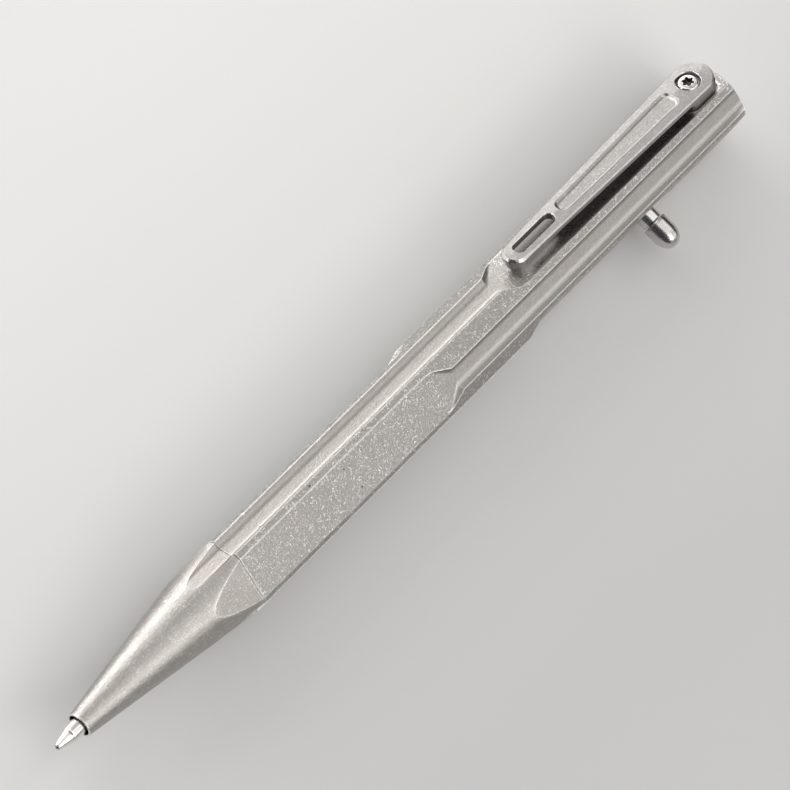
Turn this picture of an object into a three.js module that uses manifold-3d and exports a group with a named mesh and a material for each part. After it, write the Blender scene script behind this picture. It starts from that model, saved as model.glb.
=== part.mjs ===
// Bolt-action pen: six-sided machined barrel, conical nose, side bolt, pocket clip and gel refill.
// Millimetres. The pen lies on one narrow facet: +X runs toward the writing point, +Z is up.
// Along the pen, s is the distance from the ball of the writing point, so x = HALF - s.
// Around the pen, a is the angle from the clip face; the six narrow facets stand at 30 + 60 k degrees and
// the six main faces at 60 k degrees. The facet at a = 30 faces up.
import * as THREE from 'three';
import { mergeVertices } from 'three/addons/utils/BufferGeometryUtils.js';
import Module from 'manifold-3d';

// ---- driving dimensions -------------------------------------------------------------------------------------
const TOTAL = 134.15;           // ball of the point to rear end, point out
const HALF = TOTAL / 2;
const REAR_RIM_S = 133.2;       // rear corners, where the rear cone begins
const FACET_R = 5.75;           // pen axis to a narrow facet
const FLOOR_N = 4.80;           // pen axis to the flats and to the groove floors
const GROOVE_HALF = 0.76;       // half width of a groove floor
const GROOVE_SLOPE = 1.074;     // sideways run of a groove wall for each mm of height
const FULL_HALF = 3.6;          // half width at which a floor has become a full flat

const MOUTH_S = 4.32;           // front of the nose
const SEAM_S = 33.17;           // joint between nose and barrel
const SEAM_GAP = 0.08;
const MOUTH_R = 1.77;           // outer radius of the nose at its front
const CONE_SLOPE = 0.1385;      // growth of the nose radius for each mm
const MOUTH_BORE_R = 1.56;      // counterbore in the mouth, a dark ring round the writing point
const MOUTH_BORE_END_S = 5.2;
const FUNNEL_RAMP = 1.9;        // straight part of the funnel in which a groove opens to a flat
const FUNNEL_LEN = 3.95;        // whole funnel, with its rounded end
const FUNNEL_RATE = 0.83;       // widening of the floor's half width for each mm of the ramp
const B_GROOVE_S = 73.5;        // B faces: flat in front of here, groove behind
const A_GROOVE_S = 86.8;        // A faces: groove in front of here, flat behind

const BORE_R = 3.25;            // refill bore of the barrel
const BORE_END_S = 127.2;
const SPIGOT_R = 4.10;          // threaded spigot of the nose
const SPIGOT_END_S = 41.3;
const SOCKET_R = 4.20;          // threaded socket of the barrel
const SOCKET_END_S = 41.7;

const BOLT_S = 113.17;          // bolt axis, point out
const BOLT_TRAVEL = 6.0;
const BOLT_TURN_DEG = 20;       // turn into a lock notch
const SLOT_HALF = 1.80;         // half width of the bolt slot
const SHANK_R = 1.02;           // stud inside the plunger and the head
const NECK_R = 1.54;            // stud in the slot, between plunger and head
const NECK_BASE = 3.20;         // pen axis to the neck's shoulder, just above the plunger
const HEAD_R = 1.82;
const HEAD_BASE = 6.32;         // pen axis to the underside of the bolt head
const HEAD_SHOULDER = 8.12;
const HEAD_TIP = 10.50;

const CLIP_TOP = 7.40;          // pen axis to the clip's top face
const CLIP_THICK = 1.15;
const CLIP_FRONT_S = 90.1;
const CLIP_REAR_S = 132.6;
const CLIP_SPLIT_S = 126.2;     // the arm flexes here, in front of the foot
const CLIP_HALF_FRONT = 1.88;
const CLIP_HALF_REAR = 2.84;
const FOOT_FRONT_S = 126.4;
const FOOT_REAR_S = 132.3;
const FOOT_HALF = 2.55;
const SEAT_GROW = 0.25;         // clearance of the foot's seat in the barrel
const SCREW_S = 128.75;
const SCREW_HEAD_R = 1.60;
const COUNTERBORE_R = 1.75;
const SCREW_R = 0.95;

const AXIS_Z = FACET_R;         // the pen lies on the facet opposite the upper one
const AXIS_Y = -2.2073;         // centres the outline across the pen

const DEG = Math.PI / 180;
const X = (s) => HALF - s;

// ---- solids --------------------------------------------------------------------------------------------------
const wasm = await Module();
wasm.setup();

// A closed indexed mesh with shared vertices, no empty triangles, and its faces pointing out.
function welded(source) {
  let g = source.clone();
  g.deleteAttribute('normal');
  g.deleteAttribute('uv');
  g = mergeVertices(g, 1e-4);
  const p = g.attributes.position;
  const old = g.index.array;
  const keep = [];
  let volume = 0;
  const a = new THREE.Vector3(), b = new THREE.Vector3(), c = new THREE.Vector3();
  for (let i = 0; i < old.length; i += 3) {
    const [i0, i1, i2] = [old[i], old[i + 1], old[i + 2]];
    if (i0 === i1 || i1 === i2 || i0 === i2) continue;
    keep.push(i0, i1, i2);
    a.fromBufferAttribute(p, i0); b.fromBufferAttribute(p, i1); c.fromBufferAttribute(p, i2);
    volume += a.dot(b.cross(c));
  }
  if (volume < 0) for (let i = 0; i < keep.length; i += 3) [keep[i], keep[i + 1]] = [keep[i + 1], keep[i]];
  g.setIndex(keep);
  return g;
}

function solid(source) {
  const g = welded(source);
  return new wasm.Manifold(new wasm.Mesh({
    numProp: 3,
    vertProperties: Float32Array.from(g.attributes.position.array),
    triVerts: Uint32Array.from(g.index.array),
  }));
}

function geometryOf(manifold) {
  const m = manifold.getMesh();
  const g = new THREE.BufferGeometry();
  const count = m.vertProperties.length / m.numProp;
  const xyz = new Float32Array(count * 3);
  for (let i = 0; i < count; i++) for (let k = 0; k < 3; k++) xyz[3 * i + k] = m.vertProperties[i * m.numProp + k];
  g.setAttribute('position', new THREE.BufferAttribute(xyz, 3));
  g.setIndex(Array.from(m.triVerts));
  g.computeVertexNormals();
  return g;
}

// Turned about the pen axis; each profile point is [s, radius].
function turned(profile, sides = 48) {
  const g = new THREE.LatheGeometry(profile.map(([s, r]) => new THREE.Vector2(r, s)), sides);
  g.rotateZ(Math.PI / 2);
  g.translate(HALF, 0, 0);
  return g;
}

// Turned about a line that stands off the pen axis along local Z; each profile point is [radius, height].
function turnedUp(profile, sides = 32) {
  const g = new THREE.LatheGeometry(profile.map(([r, n]) => new THREE.Vector2(r, n)), sides);
  g.rotateX(Math.PI / 2);
  return g;
}

// A cross-section outline [[y, z], ...] drawn out along X from s1 back to s0.
function drawn(outline, s0, s1) {
  const shape = new THREE.Shape(outline.map(([y, z]) => new THREE.Vector2(y, z)));
  const g = new THREE.ExtrudeGeometry(shape, { depth: Math.abs(s1 - s0), bevelEnabled: false, steps: 1 });
  g.applyMatrix4(new THREE.Matrix4().makeBasis(
    new THREE.Vector3(0, 1, 0), new THREE.Vector3(0, 0, 1), new THREE.Vector3(1, 0, 0)));
  g.translate(X(Math.max(s0, s1)), 0, 0);
  return g;
}

// A plan outline [[s, y], ...] raised along Z from n0 to n1.
function raised(outline, n0, n1) {
  const shape = new THREE.Shape(outline.map(([s, y]) => new THREE.Vector2(X(s), y)));
  const g = new THREE.ExtrudeGeometry(shape, { depth: n1 - n0, bevelEnabled: false, steps: 1 });
  g.translate(0, 0, n0);
  return g;
}

// A body that runs through convex sections of equal point count; each station is { s, pts: [[y, z], ...] }.
function lofted(stations) {
  const xyz = [];
  const n = stations[0].pts.length;
  for (const st of stations) for (const [y, z] of st.pts) xyz.push(X(st.s), y, z);
  const index = [];
  for (let i = 0; i + 1 < stations.length; i++) {
    for (let k = 0; k < n; k++) {
      const a = i * n + k, b = i * n + ((k + 1) % n), c = a + n, d = b + n;
      index.push(a, b, d, a, d, c);
    }
  }
  for (let k = 1; k + 1 < n; k++) {
    index.push(0, k + 1, k);
    const e = (stations.length - 1) * n;
    index.push(e, e + k, e + k + 1);
  }
  const g = new THREE.BufferGeometry();
  g.setAttribute('position', new THREE.BufferAttribute(new Float32Array(xyz), 3));
  g.setIndex(index);
  g.setAttribute('normal', new THREE.BufferAttribute(new Float32Array(xyz.length), 3));
  g.setAttribute('uv', new THREE.BufferAttribute(new Float32Array(xyz.length / 3 * 2), 2));
  return g;
}

// Unit vectors of a face at angle a: outward, and sideways toward larger a, as [y, z].
const out = (a) => [Math.sin((a - 30) * DEG), Math.cos((a - 30) * DEG)];
const side = (a) => [Math.cos((a - 30) * DEG), -Math.sin((a - 30) * DEG)];
const at = (a, t, n) => [out(a)[0] * n + side(a)[0] * t, out(a)[1] * n + side(a)[1] * t];

// The material removed above the floor of one face: stations of [s, half width of the floor].
function faceCutter(a, list) {
  const h = 2.4;
  return solid(lofted(list.map(([s, b]) => ({
    s,
    pts: [at(a, -b, FLOOR_N), at(a, b, FLOOR_N), at(a, b + h * GROOVE_SLOPE, FLOOR_N + h),
      at(a, -b - h * GROOVE_SLOPE, FLOOR_N + h)],
  }))));
}

// Half width of the floor at a distance d from the groove's end: a straight ramp, then an arc into the flat.
function funnel(d) {
  if (d <= FUNNEL_RAMP) return GROOVE_HALF + FUNNEL_RATE * d;
  const rest = FUNNEL_LEN - FUNNEL_RAMP;
  const end = GROOVE_HALF + FUNNEL_RATE * (FUNNEL_RAMP + rest / 2);
  return end - FUNNEL_RATE * (FUNNEL_LEN - d) ** 2 / (2 * rest);
}
const STEPS = [0, FUNNEL_RAMP, 2.3, 2.75, 3.2, FUNNEL_LEN];

function hexPrism(s0, s1) {
  const pts = [];
  for (let k = 0; k < 6; k++) pts.push(at(60 * k, 0, FACET_R / Math.cos(30 * DEG)));
  return solid(drawn(pts, s0, s1));
}

function faceCutters() {
  let all = null;
  for (const a of [60, 180, 300]) {
    const list = [[2, FULL_HALF]];
    for (const d of [...STEPS].reverse()) list.push([B_GROOVE_S - d, funnel(d)]);
    list.push([TOTAL + 4, GROOVE_HALF]);
    const c = faceCutter(a, list);
    all = all ? all.add(c) : c;
  }
  for (const a of [0, 120, 240]) {
    const list = [[2, GROOVE_HALF]];
    for (const d of STEPS) list.push([A_GROOVE_S + d, funnel(d)]);
    list.push([TOTAL + 4, FULL_HALF]);
    all = all.add(faceCutter(a, list));
  }
  return all;
}

// ---- materials -----------------------------------------------------------------------------------------------
const metal = (color, roughness) => new THREE.MeshStandardMaterial({ color, roughness, metalness: 1.0 });
const plastic = (color, roughness) => new THREE.MeshStandardMaterial({ color, roughness, metalness: 0.0 });

const pen = new THREE.Group();
pen.name = 'bolt_action_pen';
const onAxis = new THREE.Group();                 // everything concentric with the pen axis
onAxis.position.set(0, AXIS_Y, AXIS_Z);
pen.add(onAxis);
const onClipFace = new THREE.Group();             // local Z stands off the clip face
onClipFace.rotation.x = 30 * DEG;
onAxis.add(onClipFace);
const onBoltFace = new THREE.Group();             // local Z runs along the bolt
onBoltFace.rotation.x = -90 * DEG;
onAxis.add(onBoltFace);

function piece(parent, name, geometry, material) {
  const mesh = new THREE.Mesh(geometry, material);
  mesh.name = name;
  parent.add(mesh);
  return mesh;
}

// ---- barrel --------------------------------------------------------------------------------------------------
const cutters = faceCutters();

function boltSlot() {
  // Straight run in the middle of the face at a = 120, with a lock notch turned toward a = 180 at each end.
  const upright = (s, aDeg) => {
    const g = turnedUp([[0, 1.6], [SLOT_HALF, 1.6], [SLOT_HALF, 8], [0, 8]], 24);
    g.translate(X(s), 0, 0);
    g.rotateX(-(aDeg - 30) * DEG);
    return solid(g);
  };
  const s0 = BOLT_S, s1 = BOLT_S + BOLT_TRAVEL;
  const end = 120 + BOLT_TURN_DEG;
  const box = (t0, t1) => [at(120, t0, 1.6), at(120, t1, 1.6), at(120, t1, 8), at(120, t0, 8)];
  let cut = solid(drawn(box(-SLOT_HALF, SLOT_HALF), s0, s1));
  for (const s of [s0, s1]) {
    cut = cut.add(upright(s, 120)).add(upright(s, end));
    const wedge = [[0, 0]];
    for (let i = 0; i <= 4; i++) wedge.push(at(120 + BOLT_TURN_DEG * i / 4, 0, 8));
    cut = cut.add(solid(drawn(wedge, s - SLOT_HALF, s + SLOT_HALF)));
  }
  return cut;
}

function barrel() {
  let b = hexPrism(SEAM_S + SEAM_GAP / 2, TOTAL);
  // rear end turned to a shallow cone, so its corners stand in front of the middle of each face
  b = b.intersect(solid(turned([[20, 0], [20, 7], [REAR_RIM_S - 0.6, 7], [REAR_RIM_S, 5.97], [TOTAL, 4.4], [TOTAL, 0]], 72)));
  b = b.subtract(cutters);
  b = b.subtract(solid(turned([[20, 0], [20, SOCKET_R], [SOCKET_END_S, SOCKET_R], [SOCKET_END_S + 0.6, BORE_R],
    [BORE_END_S, BORE_R], [BORE_END_S + 0.3, 0]], 48)));
  b = b.subtract(boltSlot());
  // seat of the clip foot and the tapped hole of its screw
  const seat = solid(raised(footOutline(SEAT_GROW), FLOOR_N - 0.35, FLOOR_N + 1)).rotate([30, 0, 0]);
  const hole = turnedUp([[0, -2.6], [SCREW_R + 0.1, -2.0], [SCREW_R + 0.1, 6], [0, 6]], 24);
  hole.translate(X(SCREW_S), 0, 0);
  b = b.subtract(seat).subtract(solid(hole).rotate([30, 0, 0]));
  return b;
}

// Outline of a straight bar from s0 to s1 whose corners have radius r; half widths h0 and h1.
function roundedBar(s0, s1, h0, h1, r, n = 5) {
  const corner = (s, y, from) => {
    const pts = [];
    for (let i = 0; i <= n; i++) {
      const w = (from + 90 * i / n) * DEG;
      pts.push([s - r * Math.cos(w), y + r * Math.sin(w)]);
    }
    return pts;
  };
  return [...corner(s0 + r, h0 - r, 0), ...corner(s1 - r, h1 - r, 90),
    ...corner(s1 - r, -h1 + r, 180), ...corner(s0 + r, -h0 + r, 270)];
}

// Outline of the clip foot: small corners in front, broad ones behind. grow widens it all round.
function footOutline(grow) {
  const pts = [];
  const corner = (s, y, r, from) => {
    for (let i = 0; i <= 6; i++) {
      const w = (from + 15 * i) * DEG;
      pts.push([s - (r + grow) * Math.cos(w), y + (r + grow) * Math.sin(w)]);
    }
  };
  corner(FOOT_FRONT_S + 0.9, FOOT_HALF - 0.9, 0.9, 0);
  corner(FOOT_REAR_S - 1.5, FOOT_HALF - 1.5, 1.5, 90);
  corner(FOOT_REAR_S - 1.5, -FOOT_HALF + 1.5, 1.5, 180);
  corner(FOOT_FRONT_S + 0.9, -FOOT_HALF + 0.9, 0.9, 270);
  return pts;
}

piece(onAxis, 'barrel', geometryOf(barrel()), metal(0xa8a5a0, 0.42));

// ---- nose ----------------------------------------------------------------------------------------------------
function nose() {
  const coneEnd = MOUTH_R + CONE_SLOPE * (SEAM_S - MOUTH_S);
  const back = SEAM_S - SEAM_GAP / 2;
  let b = solid(turned([[MOUTH_S, 0], [MOUTH_S, MOUTH_R - 0.06], [MOUTH_S + 0.06, MOUTH_R],
    [back, coneEnd], [back, SPIGOT_R], [34.6, SPIGOT_R], [34.6, 3.5], [35.5, 3.5], [35.5, SPIGOT_R],
    [SPIGOT_END_S - 0.4, SPIGOT_R], [SPIGOT_END_S, SPIGOT_R - 0.4], [SPIGOT_END_S, 0]], 72));
  b = b.intersect(hexPrism(2, 50));
  b = b.subtract(cutters.intersect(hexPrismWide(2, back + 0.001)));
  b = b.subtract(solid(turned([[2, 0], [2, MOUTH_BORE_R], [MOUTH_BORE_END_S, MOUTH_BORE_R], [MOUTH_BORE_END_S + 0.29, 1.27], [8.5, 1.27], [9.0, 1.75], [12.8, 1.75], [12.8, 2.35], [21.0, 2.35],
    [21.0, 3.2], [45, 3.2], [45, 0]], 40)));
  return b;
}
function hexPrismWide(s0, s1) {
  return solid(drawn([[-12, -12], [12, -12], [12, 12], [-12, 12]], s0, s1));
}
piece(onAxis, 'nose_cone', geometryOf(nose()), metal(0xb0ada8, 0.38));

// O-ring on the spigot
{
  const ring = [];
  for (let i = 0; i <= 10; i++) ring.push([35.05 + 0.29 * Math.cos(i * 36 * DEG), 3.83 + 0.29 * Math.sin(i * 36 * DEG)]);
  piece(onAxis, 'nose_o_ring', geometryOf(solid(turned(ring, 36))), plastic(0x1a1a1a, 0.6));
}

// ---- refill --------------------------------------------------------------------------------------------------
piece(onAxis, 'refill_point', geometryOf(solid(turned([[0.24, 0.44], [2.45, 1.10], [2.62, 1.175], [12.0, 1.175],
  [12.0, 0.5], [1.5, 0.5], [0.95, 0.385], [0.24, 0.385], [0.24, 0.44]], 32))), metal(0xd8d6d2, 0.15));
{
  const ball = new THREE.SphereGeometry(0.34, 14, 10);
  ball.translate(X(0.34), 0, 0);
  piece(onAxis, 'writing_ball', geometryOf(solid(ball)), metal(0x8a8a8c, 0.2));
}
piece(onAxis, 'refill_nose', geometryOf(solid(turned([[9.3, 1.25], [9.3, 1.5], [9.45, 1.6], [20.8, 1.6], [21.6, 2.95],
  [23.0, 2.95], [23.0, 2.3], [27.0, 2.3], [27.0, 0.6], [12.3, 0.6], [12.3, 1.25], [9.3, 1.25]], 32))), plastic(0xe6e6e2, 0.4));
piece(onAxis, 'refill_tube', geometryOf(solid(turned([[23.15, 2.4], [23.15, 3.0], [110.2, 3.0], [110.2, 2.4],
  [23.15, 2.4]], 36))), plastic(0xdfe3e6, 0.25));
piece(onAxis, 'refill_ink', geometryOf(solid(turned([[27.2, 0], [27.2, 2.3], [85.0, 2.3], [85.0, 0]], 24))), plastic(0x0a0a12, 0.35));
piece(onAxis, 'ink_follower', geometryOf(solid(turned([[85.2, 0], [85.2, 2.3], [89.0, 2.3], [88.4, 0]], 24))), plastic(0xe8e2b8, 0.2));
piece(onAxis, 'refill_end_plug', geometryOf(solid(turned([[106.4, 0.5], [106.4, 2.15], [106.7, 2.3], [110.3, 2.3], [110.3, 3.0],
  [111.3, 3.0], [111.3, 0.5], [106.4, 0.5]], 32))), plastic(0x202022, 0.5));

// Return spring: wire wound around the refill nose, between the step in the nose bore and the refill shoulder
class Coil extends THREE.Curve {
  constructor(s0, s1, radius, turns) {
    super();
    Object.assign(this, { s0, s1, radius, turns });
  }
  getPoint(t, target = new THREE.Vector3()) {
    const w = 2 * Math.PI * this.turns * t;
    return target.set(X(this.s0 + (this.s1 - this.s0) * t), this.radius * Math.cos(w), this.radius * Math.sin(w));
  }
}
{
  const wire = new THREE.Shape();
  for (let i = 0; i < 8; i++) {
    const p = [0.2 * Math.cos(i * 45 * DEG), 0.2 * Math.sin(i * 45 * DEG)];
    if (i === 0) wire.moveTo(...p); else wire.lineTo(...p);
  }
  wire.closePath();
  const g = new THREE.ExtrudeGeometry(wire, { steps: 112, bevelEnabled: false, extrudePath: new Coil(13.06, 20.62, 2.06, 8) });
  piece(onAxis, 'return_spring', geometryOf(solid(g)), metal(0xc8c8c8, 0.25));
}

// ---- bolt ----------------------------------------------------------------------------------------------------
function plunger() {
  let b = solid(turned([[111.6, 0], [111.6, 2.8], [111.9, 3.1], [116.3, 3.1], [116.7, 2.7], [118.8, 2.7], [119.2, 3.1],
    [120.9, 3.1], [121.2, 2.8], [121.2, 0]], 40));
  const hole = turnedUp([[0, -1.6], [SHANK_R + 0.08, -1.2], [SHANK_R + 0.08, 5], [0, 5]], 24);
  hole.translate(X(BOLT_S), 0, 0);
  return b.subtract(solid(hole).rotate([-90, 0, 0]));
}
piece(onAxis, 'plunger', geometryOf(plunger()), metal(0xb08d4a, 0.3));
{
  const stud = turnedUp([[0, -1.0], [SHANK_R, -0.7], [SHANK_R, NECK_BASE], [NECK_R, NECK_BASE], [NECK_R, HEAD_BASE - 0.20],
    [NECK_R - 0.07, HEAD_BASE - 0.13], [0.78, HEAD_BASE - 0.13], [0.78, 8.6], [0.6, 8.8], [0, 8.8]], 32);
  const mesh = piece(onBoltFace, 'bolt_stud', geometryOf(solid(stud)), metal(0xd8d6d2, 0.12));
  mesh.position.x = X(BOLT_S);
}
{
  const nosePts = [];
  for (let i = 1; i <= 7; i++) {
    const w = i / 7 * 90 * DEG;
    nosePts.push([HEAD_R * Math.cos(w) ** 0.9, HEAD_SHOULDER + (HEAD_TIP - HEAD_SHOULDER) * Math.sin(w)]);
  }
  nosePts[6] = [0, HEAD_TIP];
  const head = turnedUp([[0.86, HEAD_BASE], [HEAD_R - 0.12, HEAD_BASE], [HEAD_R, HEAD_BASE + 0.12], [HEAD_R, HEAD_SHOULDER],
    ...nosePts, [0, 9.0], [0.86, 8.9], [0.86, HEAD_BASE]], 40);
  const mesh = piece(onBoltFace, 'bolt_head', geometryOf(solid(head)), metal(0xe0deda, 0.1));
  mesh.position.x = X(BOLT_S);
}

// ---- clip ----------------------------------------------------------------------------------------------------
const clipHalf = (s) => CLIP_HALF_FRONT + (CLIP_HALF_REAR - CLIP_HALF_FRONT) * (s - CLIP_FRONT_S) / (SCREW_S - CLIP_FRONT_S);
function clipOutline() {
  // full round in front, straight taper, broad round behind
  const pts = [];
  const rf = CLIP_HALF_FRONT;
  for (let i = 0; i <= 10; i++) {
    const w = (-90 + 18 * i) * DEG;
    pts.push([CLIP_FRONT_S + rf - rf * Math.cos(w), rf * Math.sin(w)]);
  }
  const rr = CLIP_HALF_REAR + 0.03;
  for (let i = 0; i <= 12; i++) {
    const w = (90 - 15 * i) * DEG;
    pts.push([CLIP_REAR_S - rr + rr * Math.cos(w), rr * Math.sin(w)]);
  }
  return pts;
}
// Plate with 0.2 mm chamfers along its upper and lower edges
function clipPlate() {
  const shape = new THREE.Shape(clipOutline().map(([s, y]) => new THREE.Vector2(X(s), y)));
  const c = 0.2;
  const g = new THREE.ExtrudeGeometry(shape, { depth: CLIP_THICK - 2 * c, bevelEnabled: true, bevelThickness: c,
    bevelSize: c, bevelOffset: -c, bevelSegments: 1, steps: 1 });
  g.translate(0, 0, CLIP_TOP - CLIP_THICK + c);
  return solid(g);
}
const plate = clipPlate();
const slab = (s0, s1) => solid(raised([[s0, -5], [s1, -5], [s1, 5], [s0, 5]], 3, 9));

function clipArm() {
  const bump = new THREE.SphereGeometry(1.08, 24, 16);
  bump.translate(X(91.2), 0, 6.03);
  let b = plate.add(solid(bump));
  b = b.intersect(slab(80, CLIP_SPLIT_S - 0.13));
  b = b.subtract(solid(raised(roundedBar(91.9, 99.74, 0.95, 0.95, 0.94, 6), 3, 9)));
  b = b.subtract(solid(raised(roundedBar(101.0, 125.5, 1.12, 1.5, 1.0, 6), CLIP_TOP - 0.25, 9)));
  return b;
}
function clipFoot() {
  let b = plate.intersect(slab(CLIP_SPLIT_S + 0.13, 140));
  b = b.add(solid(raised(footOutline(0), FLOOR_N - 0.27, CLIP_TOP - 0.3)));
  const bore = turnedUp([[0, 3], [SCREW_R + 0.15, 3], [SCREW_R + 0.15, 6.45], [COUNTERBORE_R, 6.45], [COUNTERBORE_R, 9], [0, 9]], 36);
  bore.translate(X(SCREW_S), 0, 0);
  return b.subtract(solid(bore));
}
piece(onClipFace, 'clip_arm', geometryOf(clipArm()), metal(0xb4b2ad, 0.35));
piece(onClipFace, 'clip_foot', geometryOf(clipFoot()), metal(0xb4b2ad, 0.35));
{
  // Button head with a six-lobed socket
  const body = turnedUp([[0, -1.5], [SCREW_R - 0.25, -1.5], [SCREW_R, -1.2], [SCREW_R, 6.52], [SCREW_HEAD_R, 6.52], [SCREW_HEAD_R, 6.75],
    [1.42, 7.02], [1.1, 7.2], [0.7, 7.3], [0, 7.34]], 36);
  const lobes = [];
  for (let i = 0; i < 48; i++) {
    const w = i / 48 * 2 * Math.PI;
    const r = 0.72 + 0.13 * Math.cos(6 * w);
    lobes.push(new THREE.Vector2(r * Math.cos(w), r * Math.sin(w)));
  }
  const socket = new THREE.ExtrudeGeometry(new THREE.Shape(lobes), { depth: 1.2, bevelEnabled: false, steps: 1 });
  socket.translate(0, 0, 6.62);
  const mesh = piece(onClipFace, 'clip_screw', geometryOf(solid(body).subtract(solid(socket))), metal(0xd8d6d2, 0.12));
  mesh.position.x = X(SCREW_S);
}

export default pen;
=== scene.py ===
"""Looks of a machined metal bolt-action pen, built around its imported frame. Sizes here are in millimetres
and become metres as each mesh is made. s runs along the pen from the writing point, a runs round it from
the clip face, n is the height above the pen axis and t the distance sideways on a face."""

import math

import bmesh
import bpy
import numpy as np
from mathutils import Matrix, Vector


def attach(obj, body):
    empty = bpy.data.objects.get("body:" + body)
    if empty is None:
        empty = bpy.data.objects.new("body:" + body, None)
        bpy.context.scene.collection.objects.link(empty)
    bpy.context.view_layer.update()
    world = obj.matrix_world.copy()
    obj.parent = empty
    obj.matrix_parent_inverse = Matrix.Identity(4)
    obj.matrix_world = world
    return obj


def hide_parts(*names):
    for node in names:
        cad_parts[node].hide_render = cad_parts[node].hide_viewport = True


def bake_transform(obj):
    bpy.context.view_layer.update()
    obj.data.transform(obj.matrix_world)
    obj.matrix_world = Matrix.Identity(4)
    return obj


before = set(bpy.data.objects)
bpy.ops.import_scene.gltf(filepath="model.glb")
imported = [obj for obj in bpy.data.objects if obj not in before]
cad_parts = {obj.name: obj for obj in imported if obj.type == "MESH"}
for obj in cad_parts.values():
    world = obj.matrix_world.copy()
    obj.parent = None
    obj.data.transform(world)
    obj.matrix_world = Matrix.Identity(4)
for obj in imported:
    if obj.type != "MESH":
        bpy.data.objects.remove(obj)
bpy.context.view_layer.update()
scene = bpy.context.scene

# ---- dimensions, as in the frame -----------------------------------------------------------------------
MM = 0.001
TOTAL = 134.15
HALF = TOTAL / 2
AXIS_Y, AXIS_Z = -2.2073, 5.75
FACET_R, FLOOR_N = 5.75, 4.80
GROOVE_HALF, GROOVE_SLOPE = 0.76, 1.074
MOUTH_S, SEAM_S, SEAM_GAP = 4.32, 33.17, 0.08
MOUTH_R, CONE_SLOPE = 1.77, 0.1385
FUNNEL_RAMP, FUNNEL_LEN, FUNNEL_RATE = 1.9, 3.95, 0.83
B_GROOVE_S, A_GROOVE_S = 73.5, 86.8
REAR_RIM_S, REAR_RIM_R, REAR_FLAT_R = 133.2, 5.97, 4.40
BORE_R, BORE_END_S = 3.25, 127.2
SOCKET_R, SOCKET_END_S = 4.20, 41.7
SPIGOT_R, SPIGOT_END_S = 4.10, 41.3
BOLT_S, BOLT_TRAVEL, BOLT_TURN = 113.17, 6.0, 20.0
SLOT_HALF = 1.80
NECK_R, HEAD_R, HEAD_BASE, HEAD_SHOULDER, HEAD_TIP = 1.54, 1.82, 6.32, 8.12, 10.50
CLIP_TOP, CLIP_THICK = 7.40, 1.15
CLIP_FRONT_S, CLIP_REAR_S = 90.1, 132.6
CLIP_HALF_FRONT, CLIP_HALF_REAR = 1.88, 2.84
SCREW_S = 128.75
FOOT_FRONT_S, FOOT_REAR_S, FOOT_HALF = 126.4, 132.3, 2.55
B_FLAT = (FACET_R - math.cos(math.radians(30)) * FLOOR_N) / 0.5


def cosd(a):
    return math.cos(math.radians(a))


def sind(a):
    return math.sin(math.radians(a))


def at(a, t, n):
    """(y, z) from the pen axis of a point at t, n on the face at angle a."""
    return (sind(a - 30) * n + cosd(a - 30) * t, cosd(a - 30) * n - sind(a - 30) * t)


def place(s, y, z):
    """A point of the pen, in metres in the row frame."""
    return ((HALF - s) * MM, (y + AXIS_Y) * MM, (z + AXIS_Z) * MM)


def on_pen(h, p, q):
    return place(h, p, q)


def on_face(a, s0):
    """Maps (n, along the pen, sideways) of something that stands on the face at angle a, at s0."""
    def f(n, p, q):
        y, z = at(a, q, n)
        return place(s0 - p, y, z)
    return f


# ---- mesh code -----------------------------------------------------------------------------------------
def add_object(name, points, faces, smooth=True):
    me = bpy.data.meshes.new(name)
    me.from_pydata([tuple(p) for p in points], [], faces)
    me.update()
    ob = bpy.data.objects.new(name, me)
    scene.collection.objects.link(ob)
    bm = bmesh.new()
    bm.from_mesh(me)
    bmesh.ops.remove_doubles(bm, verts=bm.verts, dist=1e-8)
    bmesh.ops.recalc_face_normals(bm, faces=bm.faces)
    bm.to_mesh(me)
    bm.free()
    if smooth:
        me.polygons.foreach_set("use_smooth", [True] * len(me.polygons))
    return ob


def bridge(rows, cyclic=False):
    """Faces between rows of vertex numbers; a row of one vertex closes the body there."""
    faces = []
    pairs = list(zip(rows[:-1], rows[1:])) + ([(rows[-1], rows[0])] if cyclic else [])
    for a, b in pairs:
        n = max(len(a), len(b))
        for i in range(n):
            j = (i + 1) % n
            if len(a) == 1:
                faces.append((a[0], b[i], b[j]))
            elif len(b) == 1:
                faces.append((a[i], b[0], a[j]))
            else:
                faces.append((a[i], b[i], b[j], a[j]))
    return faces


def rows_object(name, rows, cyclic=False):
    """rows: lists of (s, y, z); consecutive rows are joined all round."""
    points, numbers = [], []
    for row in rows:
        numbers.append(list(range(len(points), len(points) + len(row))))
        points += [place(*p) for p in row]
    return add_object(name, points, bridge(numbers, cyclic))


def softened(profile, radius, closed=False, steps=3):
    """The corners of a profile cut to small arcs."""
    out, n = [], len(profile)
    for i, p in enumerate(profile):
        if not closed and i in (0, n - 1):
            out.append(p)
            continue
        a, c = np.array(profile[i - 1], float), np.array(profile[(i + 1) % n], float)
        b = np.array(p, float)
        la, lc = np.linalg.norm(a - b), np.linalg.norm(c - b)
        if la < 1e-6 or lc < 1e-6:
            continue
        cosang = float(np.dot(a - b, c - b) / (la * lc))
        if cosang < -0.985:
            out.append(tuple(b))
            continue
        r = min(radius, la * 0.42, lc * 0.42)
        p0, p1 = b + (a - b) / la * r, b + (c - b) / lc * r
        for k in range(steps + 1):
            u = k / steps
            out.append(tuple((1 - u) ** 2 * p0 + 2 * u * (1 - u) * b + u * u * p1))
    return out


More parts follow.
